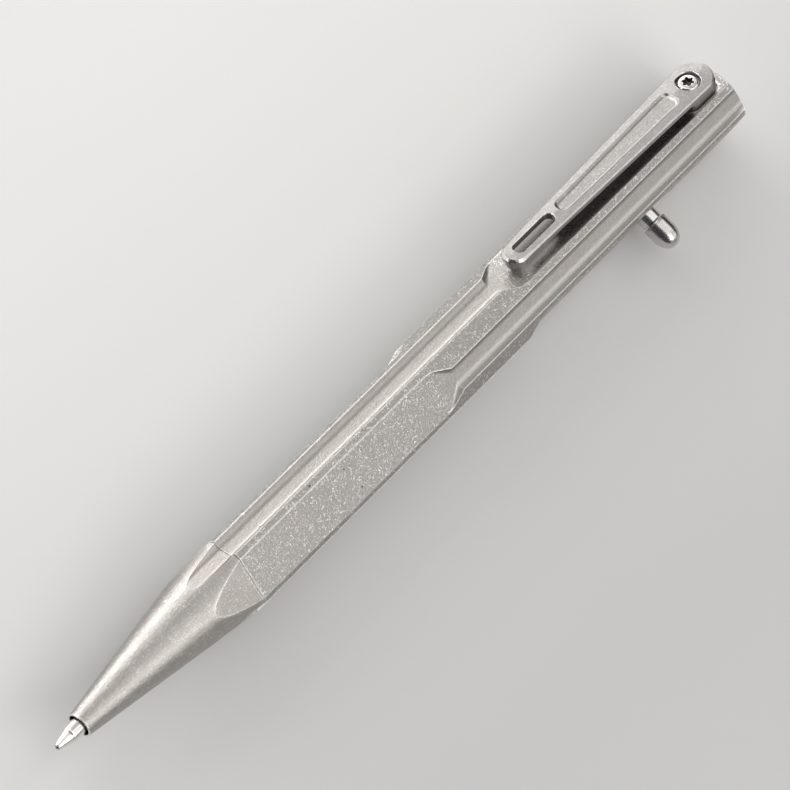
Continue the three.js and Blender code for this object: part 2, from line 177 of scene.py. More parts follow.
def turned(name, profile, sides=64, where=on_pen, closed=False, soft=0.05, steps=3):
    """A body turned about an axis; the profile is (height, radius) and ends on the axis or closes on itself."""
    prof = softened(profile, soft, closed, steps) if soft else profile
    points, rows = [], []
    for h, r in prof:
        if r < 1e-6:
            rows.append([len(points)])
            points.append(where(h, 0, 0))
        else:
            rows.append(list(range(len(points), len(points) + sides)))
            for i in range(sides):
                w = 2 * math.pi * i / sides
                points.append(where(h, r * math.cos(w), r * math.sin(w)))
    return add_object(name, points, bridge(rows, closed))


def prism(name, outline, where, h0, h1):
    """A closed body over an outline [(p, q), ...], from height h0 to h1."""
    n = len(outline)
    points = [where(h0, p, q) for p, q in outline] + [where(h1, p, q) for p, q in outline]
    faces = [tuple(range(n)), tuple(range(2 * n - 1, n - 1, -1))]
    faces += [(i, (i + 1) % n, n + (i + 1) % n, n + i) for i in range(n)]
    return add_object(name, points, faces, smooth=False)


def cut(ob, tool, operation="DIFFERENCE"):
    m = ob.modifiers.new("cut", "BOOLEAN")
    m.operation, m.solver, m.object = operation, "MANIFOLD", tool
    bake_modifiers(ob)
    old = tool.data
    bpy.data.objects.remove(tool)
    bpy.data.meshes.remove(old)


def bake_modifiers(ob):
    dg = bpy.context.evaluated_depsgraph_get()
    dg.update()
    me = bpy.data.meshes.new_from_object(ob.evaluated_get(dg), preserve_all_data_layers=True, depsgraph=dg)
    old = ob.data
    ob.modifiers.clear()
    ob.data = me
    bpy.data.meshes.remove(old)
    me.name = ob.name


def bevel_edges(ob, width, segments, angle=25, where=None):
    """Rounds the edges sharper than angle (degrees) for which where(midpoint) holds."""
    bm = bmesh.new()
    bm.from_mesh(ob.data)
    bmesh.ops.remove_doubles(bm, verts=bm.verts, dist=2e-7)
    chosen = [e for e in bm.edges if len(e.link_faces) == 2 and e.calc_face_angle() > math.radians(angle)
              and (where is None or where((e.verts[0].co + e.verts[1].co) / 2))]
    bmesh.ops.bevel(bm, geom=chosen, offset=width * MM, segments=segments, profile=0.5, affect="EDGES",
                    clamp_overlap=True, offset_type="OFFSET")
    bm.to_mesh(ob.data)
    bm.free()
    ob.data.polygons.foreach_set("use_smooth", [True] * len(ob.data.polygons))


def settle_normals(ob, sharp=35, crease=None):
    """Large faces keep their own normals and the small ones between them take up the turn."""
    bm = bmesh.new()
    bm.from_mesh(ob.data)
    for e in bm.edges:
        if len(e.link_faces) == 2:
            w = math.degrees(e.calc_face_angle())
            big = min(f.calc_area() for f in e.link_faces) > (crease or 1e9) * MM * MM
            e.smooth = not (w > sharp or (big and w > 2.5))
    for f in bm.faces:
        f.smooth = True
    bm.to_mesh(ob.data)
    bm.free()
    m = ob.modifiers.new("normals", "WEIGHTED_NORMAL")
    m.mode, m.weight, m.keep_sharp = "FACE_AREA", 50, True
    bake_modifiers(ob)


def mark_wear_and_sheen(ob, reach=0.13, full=11.0):
    """Point attribute for bright edges: 1 on convex edges, whose colour is painted bright, partly as rubbed metal and
    partly as a painted edge highlight, falling off within reach mm.
    """
    bm = bmesh.new()
    bm.from_mesh(ob.data)
    bm.verts.ensure_lookup_table()
    value = np.zeros(len(bm.verts))
    for e in bm.edges:
        if len(e.link_faces) != 2:
            continue
        w = min(1.0, max(0.0, math.degrees(e.calc_face_angle_signed(0.0)) - 1.5) / full)
        for v in e.verts:
            value[v.index] = max(value[v.index], w)
    grown = value.copy()
    for e in bm.edges:
        if e.calc_length() < reach * MM:
            i, j = e.verts[0].index, e.verts[1].index
            grown[i] = max(grown[i], value[j] * 0.45)
            grown[j] = max(grown[j], value[i] * 0.45)
    bm.free()
    at_ = ob.data.attributes.new("wear_and_sheen", "FLOAT", "POINT")
    at_.data.foreach_set("value", grown.astype(np.float32))


# ---- the six-sided section -------------------------------------------------------------------------------
def lip(b):
    n = (FACET_R - 0.5 * b + 0.5 * GROOVE_SLOPE * FLOOR_N) / (cosd(30) + 0.5 * GROOVE_SLOPE)
    return b + GROOVE_SLOPE * (n - FLOOR_N), n


FULL_RISE = lip(GROOVE_HALF)[1] - FLOOR_N
WALL_STEPS, ROUND_STEPS = 9, 4


def half_face(b):
    """Half the outline of one face, from just beside its middle to just past its edge, as (t, n, groove)."""
    b = min(b, B_FLAT)
    tc, nc = lip(b)
    c = np.array([tc, nc])
    share = min(1.0, max(0.0, (nc - FLOOR_N) / FULL_RISE))
    p0 = np.array([b - 0.10 - 0.22 * (1 - share), FLOOR_N])
    q = np.array([b + 0.66 * (tc - b), FLOOR_N])
    e = np.array([cosd(30), -0.5])
    edge = 0.10

    def wall(u):
        return (1 - u) ** 2 * p0 + 2 * u * (1 - u) * q + u * u * c

    lo, hi = 0.0, 1.0
    for _ in range(40):
        mid = (lo + hi) / 2
        if np.linalg.norm(c - wall(mid)) > edge:
            lo = mid
        else:
            hi = mid
    uc = lo
    groove = share ** 0.5
    pts = [(p0[0] - 0.34, FLOOR_N, groove), (p0[0] - 0.05, FLOOR_N, groove)]
    pts += [(*wall(uc * k / WALL_STEPS), groove) for k in range(WALL_STEPS + 1)]
    pw, pe = wall(uc), c + edge * e
    for k in range(1, ROUND_STEPS + 1):
        u = k / ROUND_STEPS
        pts.append((*((1 - u) ** 2 * pw + 2 * u * (1 - u) * c + u * u * pe), 0.0))
    pts.append((*(pe + 0.05 * e), 0.0))
    pts.append((*(pe + 0.24 * e), 0.0))
    return pts


def funnel(d):
    if d < -0.12:
        return GROOVE_HALF
    if d < 0.12:
        return GROOVE_HALF + FUNNEL_RATE * (d + 0.12) ** 2 / 0.48
    if d <= FUNNEL_RAMP:
        return GROOVE_HALF + FUNNEL_RATE * d
    rest = FUNNEL_LEN - FUNNEL_RAMP
    end = GROOVE_HALF + FUNNEL_RATE * (FUNNEL_RAMP + rest / 2)
    return end - FUNNEL_RATE * (FUNNEL_LEN - min(d, FUNNEL_LEN)) ** 2 / (2 * rest)


def section(s):
    """The closed outline of the barrel at s: (y, z, groove) all round."""
    out = []
    for k in range(6):
        a = 60 * k
        b = funnel(s - A_GROOVE_S) if k % 2 == 0 else funnel(B_GROOVE_S - s)
        half = half_face(b)
        for t, n, g in reversed(half):
            out.append((*at(a, -t, n), g))
        out.append((*at(a, 0, FLOOR_N), half[0][2]))
        for t, n, g in half:
            out.append((*at(a, t, n), g))
        # middle of the facet between this face and the next
        nb = funnel(s - A_GROOVE_S) if (k + 1) % 2 == 0 else funnel(B_GROOVE_S - s)
        other = half_face(nb)[-1]
        y0, z0 = at(a, half[-1][0], half[-1][1])
        y1, z1 = at(a + 60, -other[0], other[1])
        out.append(((y0 + y1) / 2, (z0 + z1) / 2, 0.0))
    return out


def span(a, b, step):
    n = max(1, round((b - a) / step))
    return [a + (b - a) * i / n for i in range(n)]


def helix(s, theta, depth, s0, s1, pitch=0.75):
    """Depth of a screw thread's groove at s, theta."""
    w = min(1.0, max(0.0, (s - s0) / 0.4), max(0.0, (s1 - s) / 0.4))
    w = max(0.0, min(w, (s - s0) / 0.4, (s1 - s) / 0.4))
    v = (s / pitch - theta / (2 * math.pi)) % 1.0
    return depth * w * min(1.0, max(0.0, (1 - abs(2 * v - 1)) * 1.5 - 0.25))


# ---- barrel ------------------------------------------------------------------------------------------------
def make_barrel():
    front = SEAM_S + 0.025
    stations = [front + 0.09, front + 0.25]
    stations += span(front + 2, 69.3, 2.6) + span(69.3, 73.3, 0.14) + span(73.3, 73.8, 0.05)
    stations += span(73.8, 86.4, 2.5) + span(86.4, 87.1, 0.05) + span(87.1, 91.0, 0.14) + span(91.0, 132.2, 2.7)
    stations += [132.2, 132.85]
    first = section(front)
    angle = [math.atan2(z, y) for y, z, _ in first]
    count = len(first)

    def ring(s, r):
        return [(s, r * math.cos(w), r * math.sin(w)) for w in angle]

    def pulled(points, s, d):
        """An outline drawn in toward the axis by d."""
        out = []
        for y, z, *_ in points:
            r = math.hypot(y, z)
            out.append((s, y * (r - d) / r, z * (r - d) / r))
        return out

    rows = [[(BORE_END_S + 0.3, 0, 0)], ring(BORE_END_S + 0.25, BORE_R * 0.5), ring(BORE_END_S, BORE_R)]
    rows += [ring(s, BORE_R) for s in (124.5, 121.6, 117.0, 112.0, 108.0, 95.0, 75.0, 55.0, SOCKET_END_S + 0.62)]
    rows.append(ring(SOCKET_END_S, SOCKET_R))
    for i in range(44):
        s = 41.3 - i * 0.125
        rows.append([(s, (SOCKET_R + helix(s, w, 0.24, 35.8, 41.3)) * math.cos(w),
                      (SOCKET_R + helix(s, w, 0.24, 35.8, 41.3)) * math.sin(w)) for w in angle])
    rows += [ring(35.5, SOCKET_R), ring(34.0, SOCKET_R), ring(front + 0.16, SOCKET_R), ring(front + 0.05, SOCKET_R + 0.04),
             ring(front, SOCKET_R + 0.13), ring(front, SOCKET_R + 0.2)]
    rows.append(pulled(first, front, 0.10))
    rows.append(pulled(first, front, 0.045))
    rows.append(pulled(first, front + 0.013, 0.013))
    rows.append([(front + 0.045, y, z) for y, z, _ in first])
    for s in stations:
        rows.append([(s, y, z) for y, z, _ in section(s)])
    last = section(133)
    slope = (TOTAL - REAR_RIM_S) / (REAR_RIM_R - REAR_FLAT_R)

    def rim(d_out, d_in):
        out = []
        for y, z, _ in last:
            r = math.hypot(y, z)
            s = REAR_RIM_S + (REAR_RIM_R - r) * slope
            rr = r - d_in
            out.append((s - d_out + d_in * slope, y * rr / r, z * rr / r))
        return out

    rows += [rim(0.25, 0), rim(0.12, 0), rim(0.07, 0), rim(0.025, 0.008), rim(0.0, 0.035), rim(0, 0.08), rim(0, 0.16)]
    for r, back in ((REAR_FLAT_R + 0.2, 0.121), (REAR_FLAT_R + 0.12, 0.072), (REAR_FLAT_R + 0.04, 0.03), (REAR_FLAT_R - 0.04, 0.006), (REAR_FLAT_R - 0.12, 0)):
        rows.append(ring(TOTAL - back, r))
    rows += [ring(TOTAL, 3.0), ring(TOTAL, 1.2), [(TOTAL, 0, 0)]]
    ob = rows_object("barrel_shell", rows)
    assert all(len(r) in (1, count) for r in rows)

    # bolt slot: a straight run with a lock notch turned to one side at each end
    s0, s1 = BOLT_S, BOLT_S + BOLT_TRAVEL
    straight = [at(120, t, n) for t, n in ((-SLOT_HALF, 1.6), (SLOT_HALF, 1.6), (SLOT_HALF, 8), (-SLOT_HALF, 8))]
    cut(ob, prism("c0", straight, lambda h, p, q: place(h, p, q), s0, s1))
    circle = [(SLOT_HALF * math.cos(2 * math.pi * i / 48), SLOT_HALF * math.sin(2 * math.pi * i / 48)) for i in range(48)]
    for s in (s0, s1):
        for a in (120, 120 + BOLT_TURN):
            cut(ob, prism("c1", circle, on_face(a, s), 1.6, 8))
        fan = [(0, 0)] + [at(120 + BOLT_TURN * i / 6, 0, 8) for i in range(7)]
        cut(ob, prism("c2", fan, lambda h, p, q: place(h, p, q), s - SLOT_HALF, s + SLOT_HALF))
    # seat of the clip foot and its tapped hole
    seat = [(SCREW_S - s, y) for s, y in foot_outline(0.27)]
    cut(ob, prism("c3", seat, on_face(0, SCREW_S), FLOOR_N - 0.35, FLOOR_N + 1.2))
    hole = [(1.02 * math.cos(2 * math.pi * i / 40), 1.02 * math.sin(2 * math.pi * i / 40)) for i in range(40)]
    cut(ob, prism("c4", hole, on_face(0, SCREW_S), -2.0, 6))

    def at_slot(p):
        s = HALF - p.x / MM
        y, z = p.y / MM - AXIS_Y, p.z / MM - AXIS_Z
        a = math.degrees(math.atan2(y, z)) + 30
        return SLOT_EDGE[0] < s < SLOT_EDGE[1] and 98 < a < 166 and math.hypot(y, z) > 4.72

    def at_seat(p):
        s = HALF - p.x / MM
        y, z = p.y / MM - AXIS_Y, p.z / MM - AXIS_Z
        n = y * sind(-30) + z * cosd(-30)
        t = y * cosd(-30) - z * sind(-30)
        return 125.8 < s < 132.9 and abs(t) < 3.0 and abs(n - FLOOR_N) < 0.02

    bevel_edges(ob, 0.09, 2, 40, at_slot)
    bevel_edges(ob, 0.07, 2, 40, at_seat)
    settle_normals(ob, 50)
    return ob


SLOT_EDGE = (BOLT_S - SLOT_HALF - 0.2, BOLT_S + BOLT_TRAVEL + SLOT_HALF + 0.2)


def foot_outline(grow):
    """Outline of the clip foot as (s, t): small corners in front, broad ones behind."""
    pts = []

    def corner(s, y, r, start):
        for i in range(13):
            w = start + 7.5 * i
            pts.append((s - (r + grow) * cosd(w), y + (r + grow) * sind(w)))

    corner(FOOT_FRONT_S + 0.9, FOOT_HALF - 0.9, 0.9, 0)
    corner(FOOT_REAR_S - 1.5, FOOT_HALF - 1.5, 1.5, 90)
    corner(FOOT_REAR_S - 1.5, -FOOT_HALF + 1.5, 1.5, 180)
    corner(FOOT_FRONT_S + 0.9, -FOOT_HALF + 0.9, 0.9, 270)
    return pts


# ---- nose --------------------------------------------------------------------------------------------------
def make_nose():
    back = SEAM_S - 0.025
    base = section(SEAM_S)
    ring = []
    for i, (y, z, g) in enumerate(base):
        y1, z1, g1 = base[(i + 1) % len(base)]
        w0, w1 = math.atan2(z, y), math.atan2(z1, y1)
        gap = abs((w1 - w0 + math.pi) % (2 * math.pi) - math.pi)
        parts = max(1, math.ceil(math.degrees(gap) / 0.95))
        for k in range(parts):
            f = k / parts
            yy, zz = y + (y1 - y) * f, z + (z1 - z) * f
            ring.append((math.atan2(zz, yy), math.hypot(yy, zz)))

    def cone(s):
        return MOUTH_R + CONE_SLOPE * (s - MOUTH_S)

    def row(values):
        return [(s, r * math.cos(w), r * math.sin(w)) for (s, r), (w, _) in zip(values, ring)]

    def flat_row(s, r):
        return row([(s, r)] * len(ring))

    crease = [min(back - 0.16, MOUTH_S + (r - MOUTH_R) / CONE_SLOPE) for _, r in ring]
    rows = [flat_row(8.5, 1.27), flat_row(6.5, 1.27), flat_row(5.49, 1.27), flat_row(5.2, 1.56), flat_row(5.1, 1.56),
            flat_row(4.42, 1.56), flat_row(4.34, 1.565), flat_row(MOUTH_S, 1.59), flat_row(MOUTH_S, 1.68), flat_row(4.335, 1.73),
            flat_row(4.37, 1.765), flat_row(4.43, cone(4.43)), flat_row(4.58, cone(4.58))]
    # plain cone up to where the faces cut it
    for k in range(1, 25):
        f = k / 25
        rows.append(row([(s := 4.58 + (c - 0.12 - 4.58) * f, cone(s)) for c in crease]))
    for d, drop in ((-0.12, 0), (-0.05, 0.0), (0.0, 0.0045), (0.05, 0.0), (0.12, 0)):
        rows.append(row([(c + d, min(cone(c + d), r) - drop) for c, (_, r) in zip(crease, ring)]))
    for k in range(1, 13):
        f = k / 13
        rows.append(row([(s := c + 0.12 + (back - 0.07 - c - 0.12) * f, min(cone(s), r)) for c, (_, r) in zip(crease, ring)]))
    end = [min(cone(back), r) for _, r in ring]
    rows.append(row([(back - 0.045, r) for r in end]))
    rows.append(row([(back - 0.013, r - 0.013) for r in end]))
    rows.append(row([(back, r - 0.045) for r in end]))
    rows.append(row([(back, r - 0.10) for r in end]))
    rows += [flat_row(back, SPIGOT_R + 0.25), flat_row(back, SPIGOT_R + 0.08), flat_row(back + 0.08, SPIGOT_R),
             flat_row(34.5, SPIGOT_R), flat_row(34.6, SPIGOT_R - 0.08), flat_row(34.62, 3.58), flat_row(34.7, 3.5),
             flat_row(35.4, 3.5), flat_row(35.48, 3.58), flat_row(35.5, SPIGOT_R - 0.08), flat_row(35.58, SPIGOT_R)]
    for i in range(40):
        s = 35.75 + i * 0.125
        rows.append(row([(s, SPIGOT_R - helix(s, w, 0.3, 35.75, 40.75)) for w, _ in ring]))
    rows += [flat_row(40.8, SPIGOT_R), flat_row(SPIGOT_END_S - 0.4, SPIGOT_R - 0.02), flat_row(SPIGOT_END_S, SPIGOT_R - 0.4),
             flat_row(SPIGOT_END_S, 3.32), flat_row(SPIGOT_END_S - 0.1, 3.2), flat_row(30.0, 3.2), flat_row(21.0, 3.2),
             flat_row(21.0, 2.35), flat_row(12.8, 2.35), flat_row(12.8, 1.75), flat_row(9.0, 1.75)]
    return rows_object("nose", rows, cyclic=True)


# ---- pocket clip -------------------------------------------------------------------------------------------
ROOF = math.tan(math.radians(4.0))


def clip_rings():
    """Outer outline of the clip as (s, t) from the front tip round one side, then round the other."""
    rf, rr = CLIP_HALF_FRONT, CLIP_HALF_REAR + 0.03
    side = []
    for i in range(1, 19):
        w = 5.0 * i
        side.append((CLIP_FRONT_S + rf - rf * cosd(w), rf * sind(w)))
    for i in range(1, 12):
        f = i / 12
        side.append((CLIP_FRONT_S + rf + (CLIP_REAR_S - rr - CLIP_FRONT_S - rf) * f, rf + (rr - rf) * f))
    for i in range(0, 19):
        w = 90 - 5.0 * i
        side.append((CLIP_REAR_S - rr + rr * cosd(w), rr * sind(w)))
    rear = side.pop()
    return (CLIP_FRONT_S, 0.0), side, rear


def bar_side(s0, s1, h0, h1, r, steps=8):
    """Half outline (t > 0) of a round-cornered bar, from its front middle to its rear middle."""
    pts = []
    for i in range(steps + 1):
        w = 90 * i / steps
        pts.append((s0 + r - r * cosd(w), h0 - r + r * sind(w)))
    n = 6
    for i in range(1, n):
        f = i / n
        pts.append((s0 + r + (s1 - r - s0 - r) * f, h0 + (h1 - h0) * f))
    for i in range(steps + 1):
        w = 90 * i / steps
        pts.append((s1 - r + r * sind(w), h1 - r + r * cosd(w)))
    return [(s0, 0.0)] + pts + [(s1, 0.0)]


def circle_side(s0, r, steps=18):
    return [(s0 - r * cosd(180 * i / steps), r * sind(180 * i / steps)) for i in range(steps + 1)]


def offset_closed(ring, d):
    """A closed ring of (s, t) moved outward by d, a number or a function of s."""
    out, n = [], len(ring)
    area = sum(ring[i][0] * ring[(i + 1) % n][1] - ring[(i + 1) % n][0] * ring[i][1] for i in range(n))
    sign = 1 if area > 0 else -1
    for i in range(n):
        (ax, ay), (bx, by), (cx, cy) = ring[i - 1], ring[i], ring[(i + 1) % n]
        e1, e2 = (bx - ax, by - ay), (cx - bx, cy - by)
        l1, l2 = math.hypot(*e1) or 1e-9, math.hypot(*e2) or 1e-9
        nx = (e1[1] / l1 + e2[1] / l2) * sign
        ny = -(e1[0] / l1 + e2[0] / l2) * sign
        ln = math.hypot(nx, ny) or 1e-9
        dot = max(0.3, (nx * e1[1] / l1 - ny * e1[0] / l1) * sign / ln)
        step = (d(bx) if callable(d) else d) / dot
        out.append((bx + nx / ln * step, by + ny / ln * step))
    return out


def full_ring(half):
    """A half outline that starts and ends on the middle line, closed by its mirror image."""
    return half + [(s, -t) for s, t in reversed(half[1:-1])]


def make_clip():
    tip, side, rear = clip_rings()
    outer = full_ring([tip] + side + [rear])
    slot = full_ring(bar_side(91.9, 99.74, 0.95, 0.95, 0.94))
    pocket = full_ring(bar_side(101.0, 125.5, 1.12, 1.5, 1.0))
    bore = full_ring(circle_side(SCREW_S, 1.75))
    points, faces = [], []

    def top(s, t, d=0.0):
        return CLIP_TOP - ROOF * abs(t) - d

    def ring_at(ring, level):
        first = len(points)
        for s, t in ring:
            n = level(s, t) if callable(level) else level
            y, z = at(0, t, n)
            points.append(place(s, y, z))
        return list(range(first, first + len(ring)))

    def strips(rings):
        for a, b in zip(rings[:-1], rings[1:]):
            n = len(a)
            for i in range(n):
                j = (i + 1) % n
                faces.append((a[i], b[i], b[j], a[j]))

    under = CLIP_TOP - CLIP_THICK

    def chamfer(s):
        u = min(1.0, max(0.0, (CLIP_FRONT_S + 3.2 - s) / 1.8))
        return 0.17 + 0.14 * u * u * (3 - 2 * u)

    o_top = ring_at(offset_closed(outer, lambda s: -chamfer(s)), top)
    o_hi = ring_at(outer, lambda s, t: top(s, t) - chamfer(s))
    o_lo = ring_at(outer, under + 0.2)
    o_bot = ring_at(offset_closed(outer, -0.2), under)
    strips([o_top, o_hi, o_lo, o_bot])
    k = 0.07
    s_top = ring_at(offset_closed(slot, k), top)
    s_hi = ring_at(slot, lambda s, t: top(s, t) - k)
    s_lo = ring_at(slot, under + k)
    s_bot = ring_at(offset_closed(slot, k), under)
    strips([s_top, s_hi, s_lo, s_bot])
    p_top = ring_at(offset_closed(pocket, k), top)
    p_hi = ring_at(pocket, lambda s, t: top(s, t) - k)
    p_mid = ring_at(offset_closed(pocket, -0.07), CLIP_TOP - 0.21)
    p_lo = ring_at(offset_closed(pocket, -0.21), CLIP_TOP - 0.345)
    p_lw = ring_at(offset_closed(pocket, -0.38), CLIP_TOP - 0.405)
    p_fl = ring_at(offset_closed(pocket, -0.50), CLIP_TOP - 0.42)
    strips([p_top, p_hi, p_mid, p_lo, p_lw, p_fl])
    faces.append(tuple(p_fl))
    b_top = ring_at(offset_closed(bore, 0.09), top)
    b_hi = ring_at(bore, lambda s, t: top(s, t) - 0.09)
    b_lo = ring_at(bore, 6.45)
    shank = full_ring(circle_side(SCREW_S, 1.10))
    b_in = ring_at(shank, 6.45)
    b_bot = ring_at(shank, 4.53)
    strips([b_top, b_hi, b_lo, b_in, b_bot])
    foot = full_ring(foot_half())
    f_top = ring_at(foot, under)
    f_lo = ring_at(foot, 4.61)
    f_bot = ring_at(offset_closed(foot, -0.08), 4.53)
    strips([f_top, f_lo, f_bot])

    def halves(ring):
        """The ring's vertex numbers on the two sides, both from the front to the rear."""
        m = len(ring) // 2
        return ring[: m + 1], [ring[0]] + list(reversed(ring[m:]))

    def sheet(outside, holes):
        """One face on each side of the middle line, between the outer ring and the holes on it."""
        for side_no in (0, 1):
            poly = list(halves(outside)[side_no])
            for h in reversed(holes):
                poly += list(reversed(halves(h)[side_no]))
            faces.append(tuple(poly))

    sheet(o_top, [s_top, p_top, b_top])
    sheet(o_bot, [s_bot, f_top])
    sheet(f_bot, [b_bot])
    ob = add_object("pocket_clip", points, faces)
    # contact bump under the tip
    bump = turned("c5", [(5.02, 0), (5.05, 0.30), (5.16, 0.58), (5.36, 0.83), (5.66, 1.01), (6.0, 1.08), (6.33, 1.06), (6.6, 0.95), (6.6, 0)],
                  40, on_face(0, 91.25), soft=0)
    cut(ob, bump, "UNION")
    bevel_edges(ob, 0.035, 2, 20)
    settle_normals(ob, 40, 0.6)
    return ob


def foot_half():
    pts = [(FOOT_FRONT_S, 0.0)]
    for i in range(7):
        w = 15 * i
        pts.append((FOOT_FRONT_S + 0.9 - 0.9 * cosd(w), FOOT_HALF - 0.9 + 0.9 * sind(w)))
    for i in range(9):
        w = 90 - 11.25 * i
        pts.append((FOOT_REAR_S - 1.5 + 1.5 * cosd(w), FOOT_HALF - 1.5 + 1.5 * sind(w)))
    return pts + [(FOOT_REAR_S, 0.0)]


# ---- screw, bolt, refill ------------------------------------------------------------------------------------
def make_screw():
    """Button-head screw with a six-lobed socket and a threaded shank."""
    sides, where = 96, on_face(0, SCREW_S)
    points, rows = [], []

    def add(radius, n):
        rows.append(list(range(len(points), len(points) + sides)))
        for i in range(sides):
            w = 2 * math.pi * i / sides
            r = radius(w) if callable(radius) else radius
            points.append(where(n(w) if callable(n) else n, r * math.cos(w), r * math.sin(w)))

    def star(grow, keep=1.0):
        return lambda w: 0.73 + grow + 0.15 * keep * math.cos(6 * w + 0.5)

    rows.append([0])
    points.append(where(-1.5, 0, 0))
    add(0.55, -1.5)
    add(0.8, -1.25)
    for i in range(90):
        n = -1.1 + i * 0.075
        if n > 5.6:
            break
        add(lambda w, n=n: 0.95 - helix(n, w, 0.13, -1.1, 5.6, 0.45), n)
    add(0.95, 5.7)
    add(0.95, 6.48)
    add(1.02, 6.52)
    add(1.50, 6.52)
    add(1.575, 6.55)
    add(1.60, 6.62)
    add(1.60, 6.78)
    for k in range(1, 10):
        f = k / 9
        add(1.60 - 0.52 * f ** 1.25, 6.78 + 0.47 * math.sin(f * math.pi / 2) ** 0.9)
    add(star(0.13, 0.7), 7.275)
    add(star(0.06, 0.9), 7.285)
    add(star(0.02), 7.26)
    add(star(0.0), 7.2)
    add(star(-0.01), 6.9)
    add(star(-0.03), 6.63)
    add(star(-0.12, 0.8), 6.57)
    add(0.3, 6.52)
    rows.append([len(points)])
    points.append(where(6.5, 0, 0))
    return add_object("screw_of_clip", points, bridge(rows))


def make_bolt():
    where = on_face(120, BOLT_S)
    stud = turned("bolt_neck", [(-1.0, 0), (-1.0, 0.72), (-0.7, 1.02), (3.20, 1.02), (3.20, NECK_R), (HEAD_BASE - 0.13, NECK_R),
                                (HEAD_BASE - 0.13, 0.78), (8.6, 0.78), (8.8, 0.6), (8.8, 0)], 64, where, soft=0.07)
    curve = []
    for i in range(0, 25):
        w = i / 24 * 90
        curve.append((HEAD_SHOULDER + (HEAD_TIP - HEAD_SHOULDER) * sind(w), HEAD_R * cosd(w) ** 0.88 if i < 24 else 0.0))
    prof = [(9.0, 0), (8.9, 0.86), (HEAD_BASE + 0.1, 0.86), (HEAD_BASE, 0.96), (HEAD_BASE, HEAD_R - 0.12), (HEAD_BASE + 0.02, HEAD_R - 0.05),
            (HEAD_BASE + 0.09, HEAD_R), (6.9, HEAD_R), (7.6, HEAD_R), (HEAD_SHOULDER - 0.1, HEAD_R)] + curve
    head = turned("bolt_knob", prof, 80, where, soft=0)
    return stud, head


def make_plunger():
    body = turned("bolt_plunger", [(111.6, 0), (111.6, 2.8), (111.9, 3.1), (116.3, 3.1), (116.7, 2.7), (118.8, 2.7), (119.2, 3.1),
                                   (120.9, 3.1), (121.2, 2.8), (121.2, 0)], 96, soft=0.06)
    ring = [(1.10 * math.cos(2 * math.pi * i / 40), 1.10 * math.sin(2 * math.pi * i / 40)) for i in range(40)]
    cut(body, prism("c6", ring, on_face(120, BOLT_S), -1.3, 5))
    body.data.polygons.foreach_set("use_smooth", [True] * len(body.data.polygons))
    bevel_edges(body, 0.04, 2, 40, lambda p: (p.y / MM - AXIS_Y) > 0.5 and abs(HALF - p.x / MM - BOLT_S) < 1.3)
    return body


def make_refill():
    point = turned("steel_point", [(0.24, 0.385), (0.24, 0.43), (0.30, 0.47), (0.35, 0.484), (0.45, 0.512), (2.25, 1.018), (2.40, 1.06), (2.52, 1.115), (2.62, 1.15), (2.76, 1.175), (12.0, 1.175),
                                   (12.0, 0.5), (1.5, 0.5), (0.95, 0.385)], 72, closed=True, soft=0.02, steps=2)
    ball_prof = [(0.0, 0.0)] + [(0.34 - 0.34 * cosd(w), 0.34 * sind(w)) for w in range(9, 180, 9)] + [(0.68, 0.0)]
    ball = turned("carbide_ball", ball_prof, 48, soft=0)
    holder = turned("point_holder", [(9.3, 1.25), (9.3, 1.5), (9.45, 1.6), (20.8, 1.6), (21.6, 2.95), (23.0, 2.95), (23.0, 2.3), (27.0, 2.3),
                                     (27.0, 0.6), (12.3, 0.6), (12.3, 1.25)], 64, closed=True, soft=0.08)
    tube = turned("ink_tube", [(23.15, 2.4), (23.15, 3.0), (40.0, 3.0), (70.0, 3.0), (110.2, 3.0), (110.2, 2.4), (70.0, 2.4), (40.0, 2.4)], 72, closed=True, soft=0.08)
    ink = turned("gel_ink", [(27.2, 0), (27.2, 2.3), (85.0, 2.3), (84.7, 1.2), (84.6, 0)], 48, soft=0.1)
    grease = turned("follower", [(85.15, 0), (85.3, 1.4), (85.5, 2.3), (89.0, 2.3), (88.6, 1.2), (88.4, 0)], 48, soft=0.08)
    plug = turned("end_plug", [(106.4, 0.5), (106.4, 2.15), (106.7, 2.3), (110.3, 2.3), (110.3, 3.0), (111.3, 3.0), (111.3, 0.5)], 64, closed=True, soft=0.1)
    ring = turned("seal_ring", [(35.05 + 0.30 * cosd(w), 3.82 + 0.30 * sind(w)) for w in range(0, 360, 24)], 96, closed=True, soft=0)
    return point, ball, holder, tube, ink, grease, plug, ring


def make_spring():
    turns, s0, s1, radius, wire = 8.0, 13.06, 20.62, 2.06, 0.2
    steps, sides = 320, 12
    points, rows = [], []
    for i in range(steps + 1):
        f = i / steps
        # the end turns lie closer together than the open ones
        g = f + 0.055 * math.sin(2 * math.pi * f) * -1
        w = 2 * math.pi * turns * f
        c = np.array([s0 + (s1 - s0) * g, radius * math.cos(w), radius * math.sin(w)])
        rad = np.array([0, math.cos(w), math.sin(w)])
        tangent = np.array([(s1 - s0) / (2 * math.pi * turns), -radius * math.sin(w), radius * math.cos(w)])
        tangent /= np.linalg.norm(tangent)
        up = np.cross(tangent, rad)
        if i == 0:
            rows.append([0])
            points.append(place(*c))
        rows.append(list(range(len(points), len(points) + sides)))
        for k in range(sides):
            v = 2 * math.pi * k / sides
            points.append(place(*(c + wire * (math.cos(v) * rad + math.sin(v) * up))))
        if i == steps:
            rows.append([len(points)])
            points.append(place(*c))
    return add_object("coil_spring", points, bridge(rows))


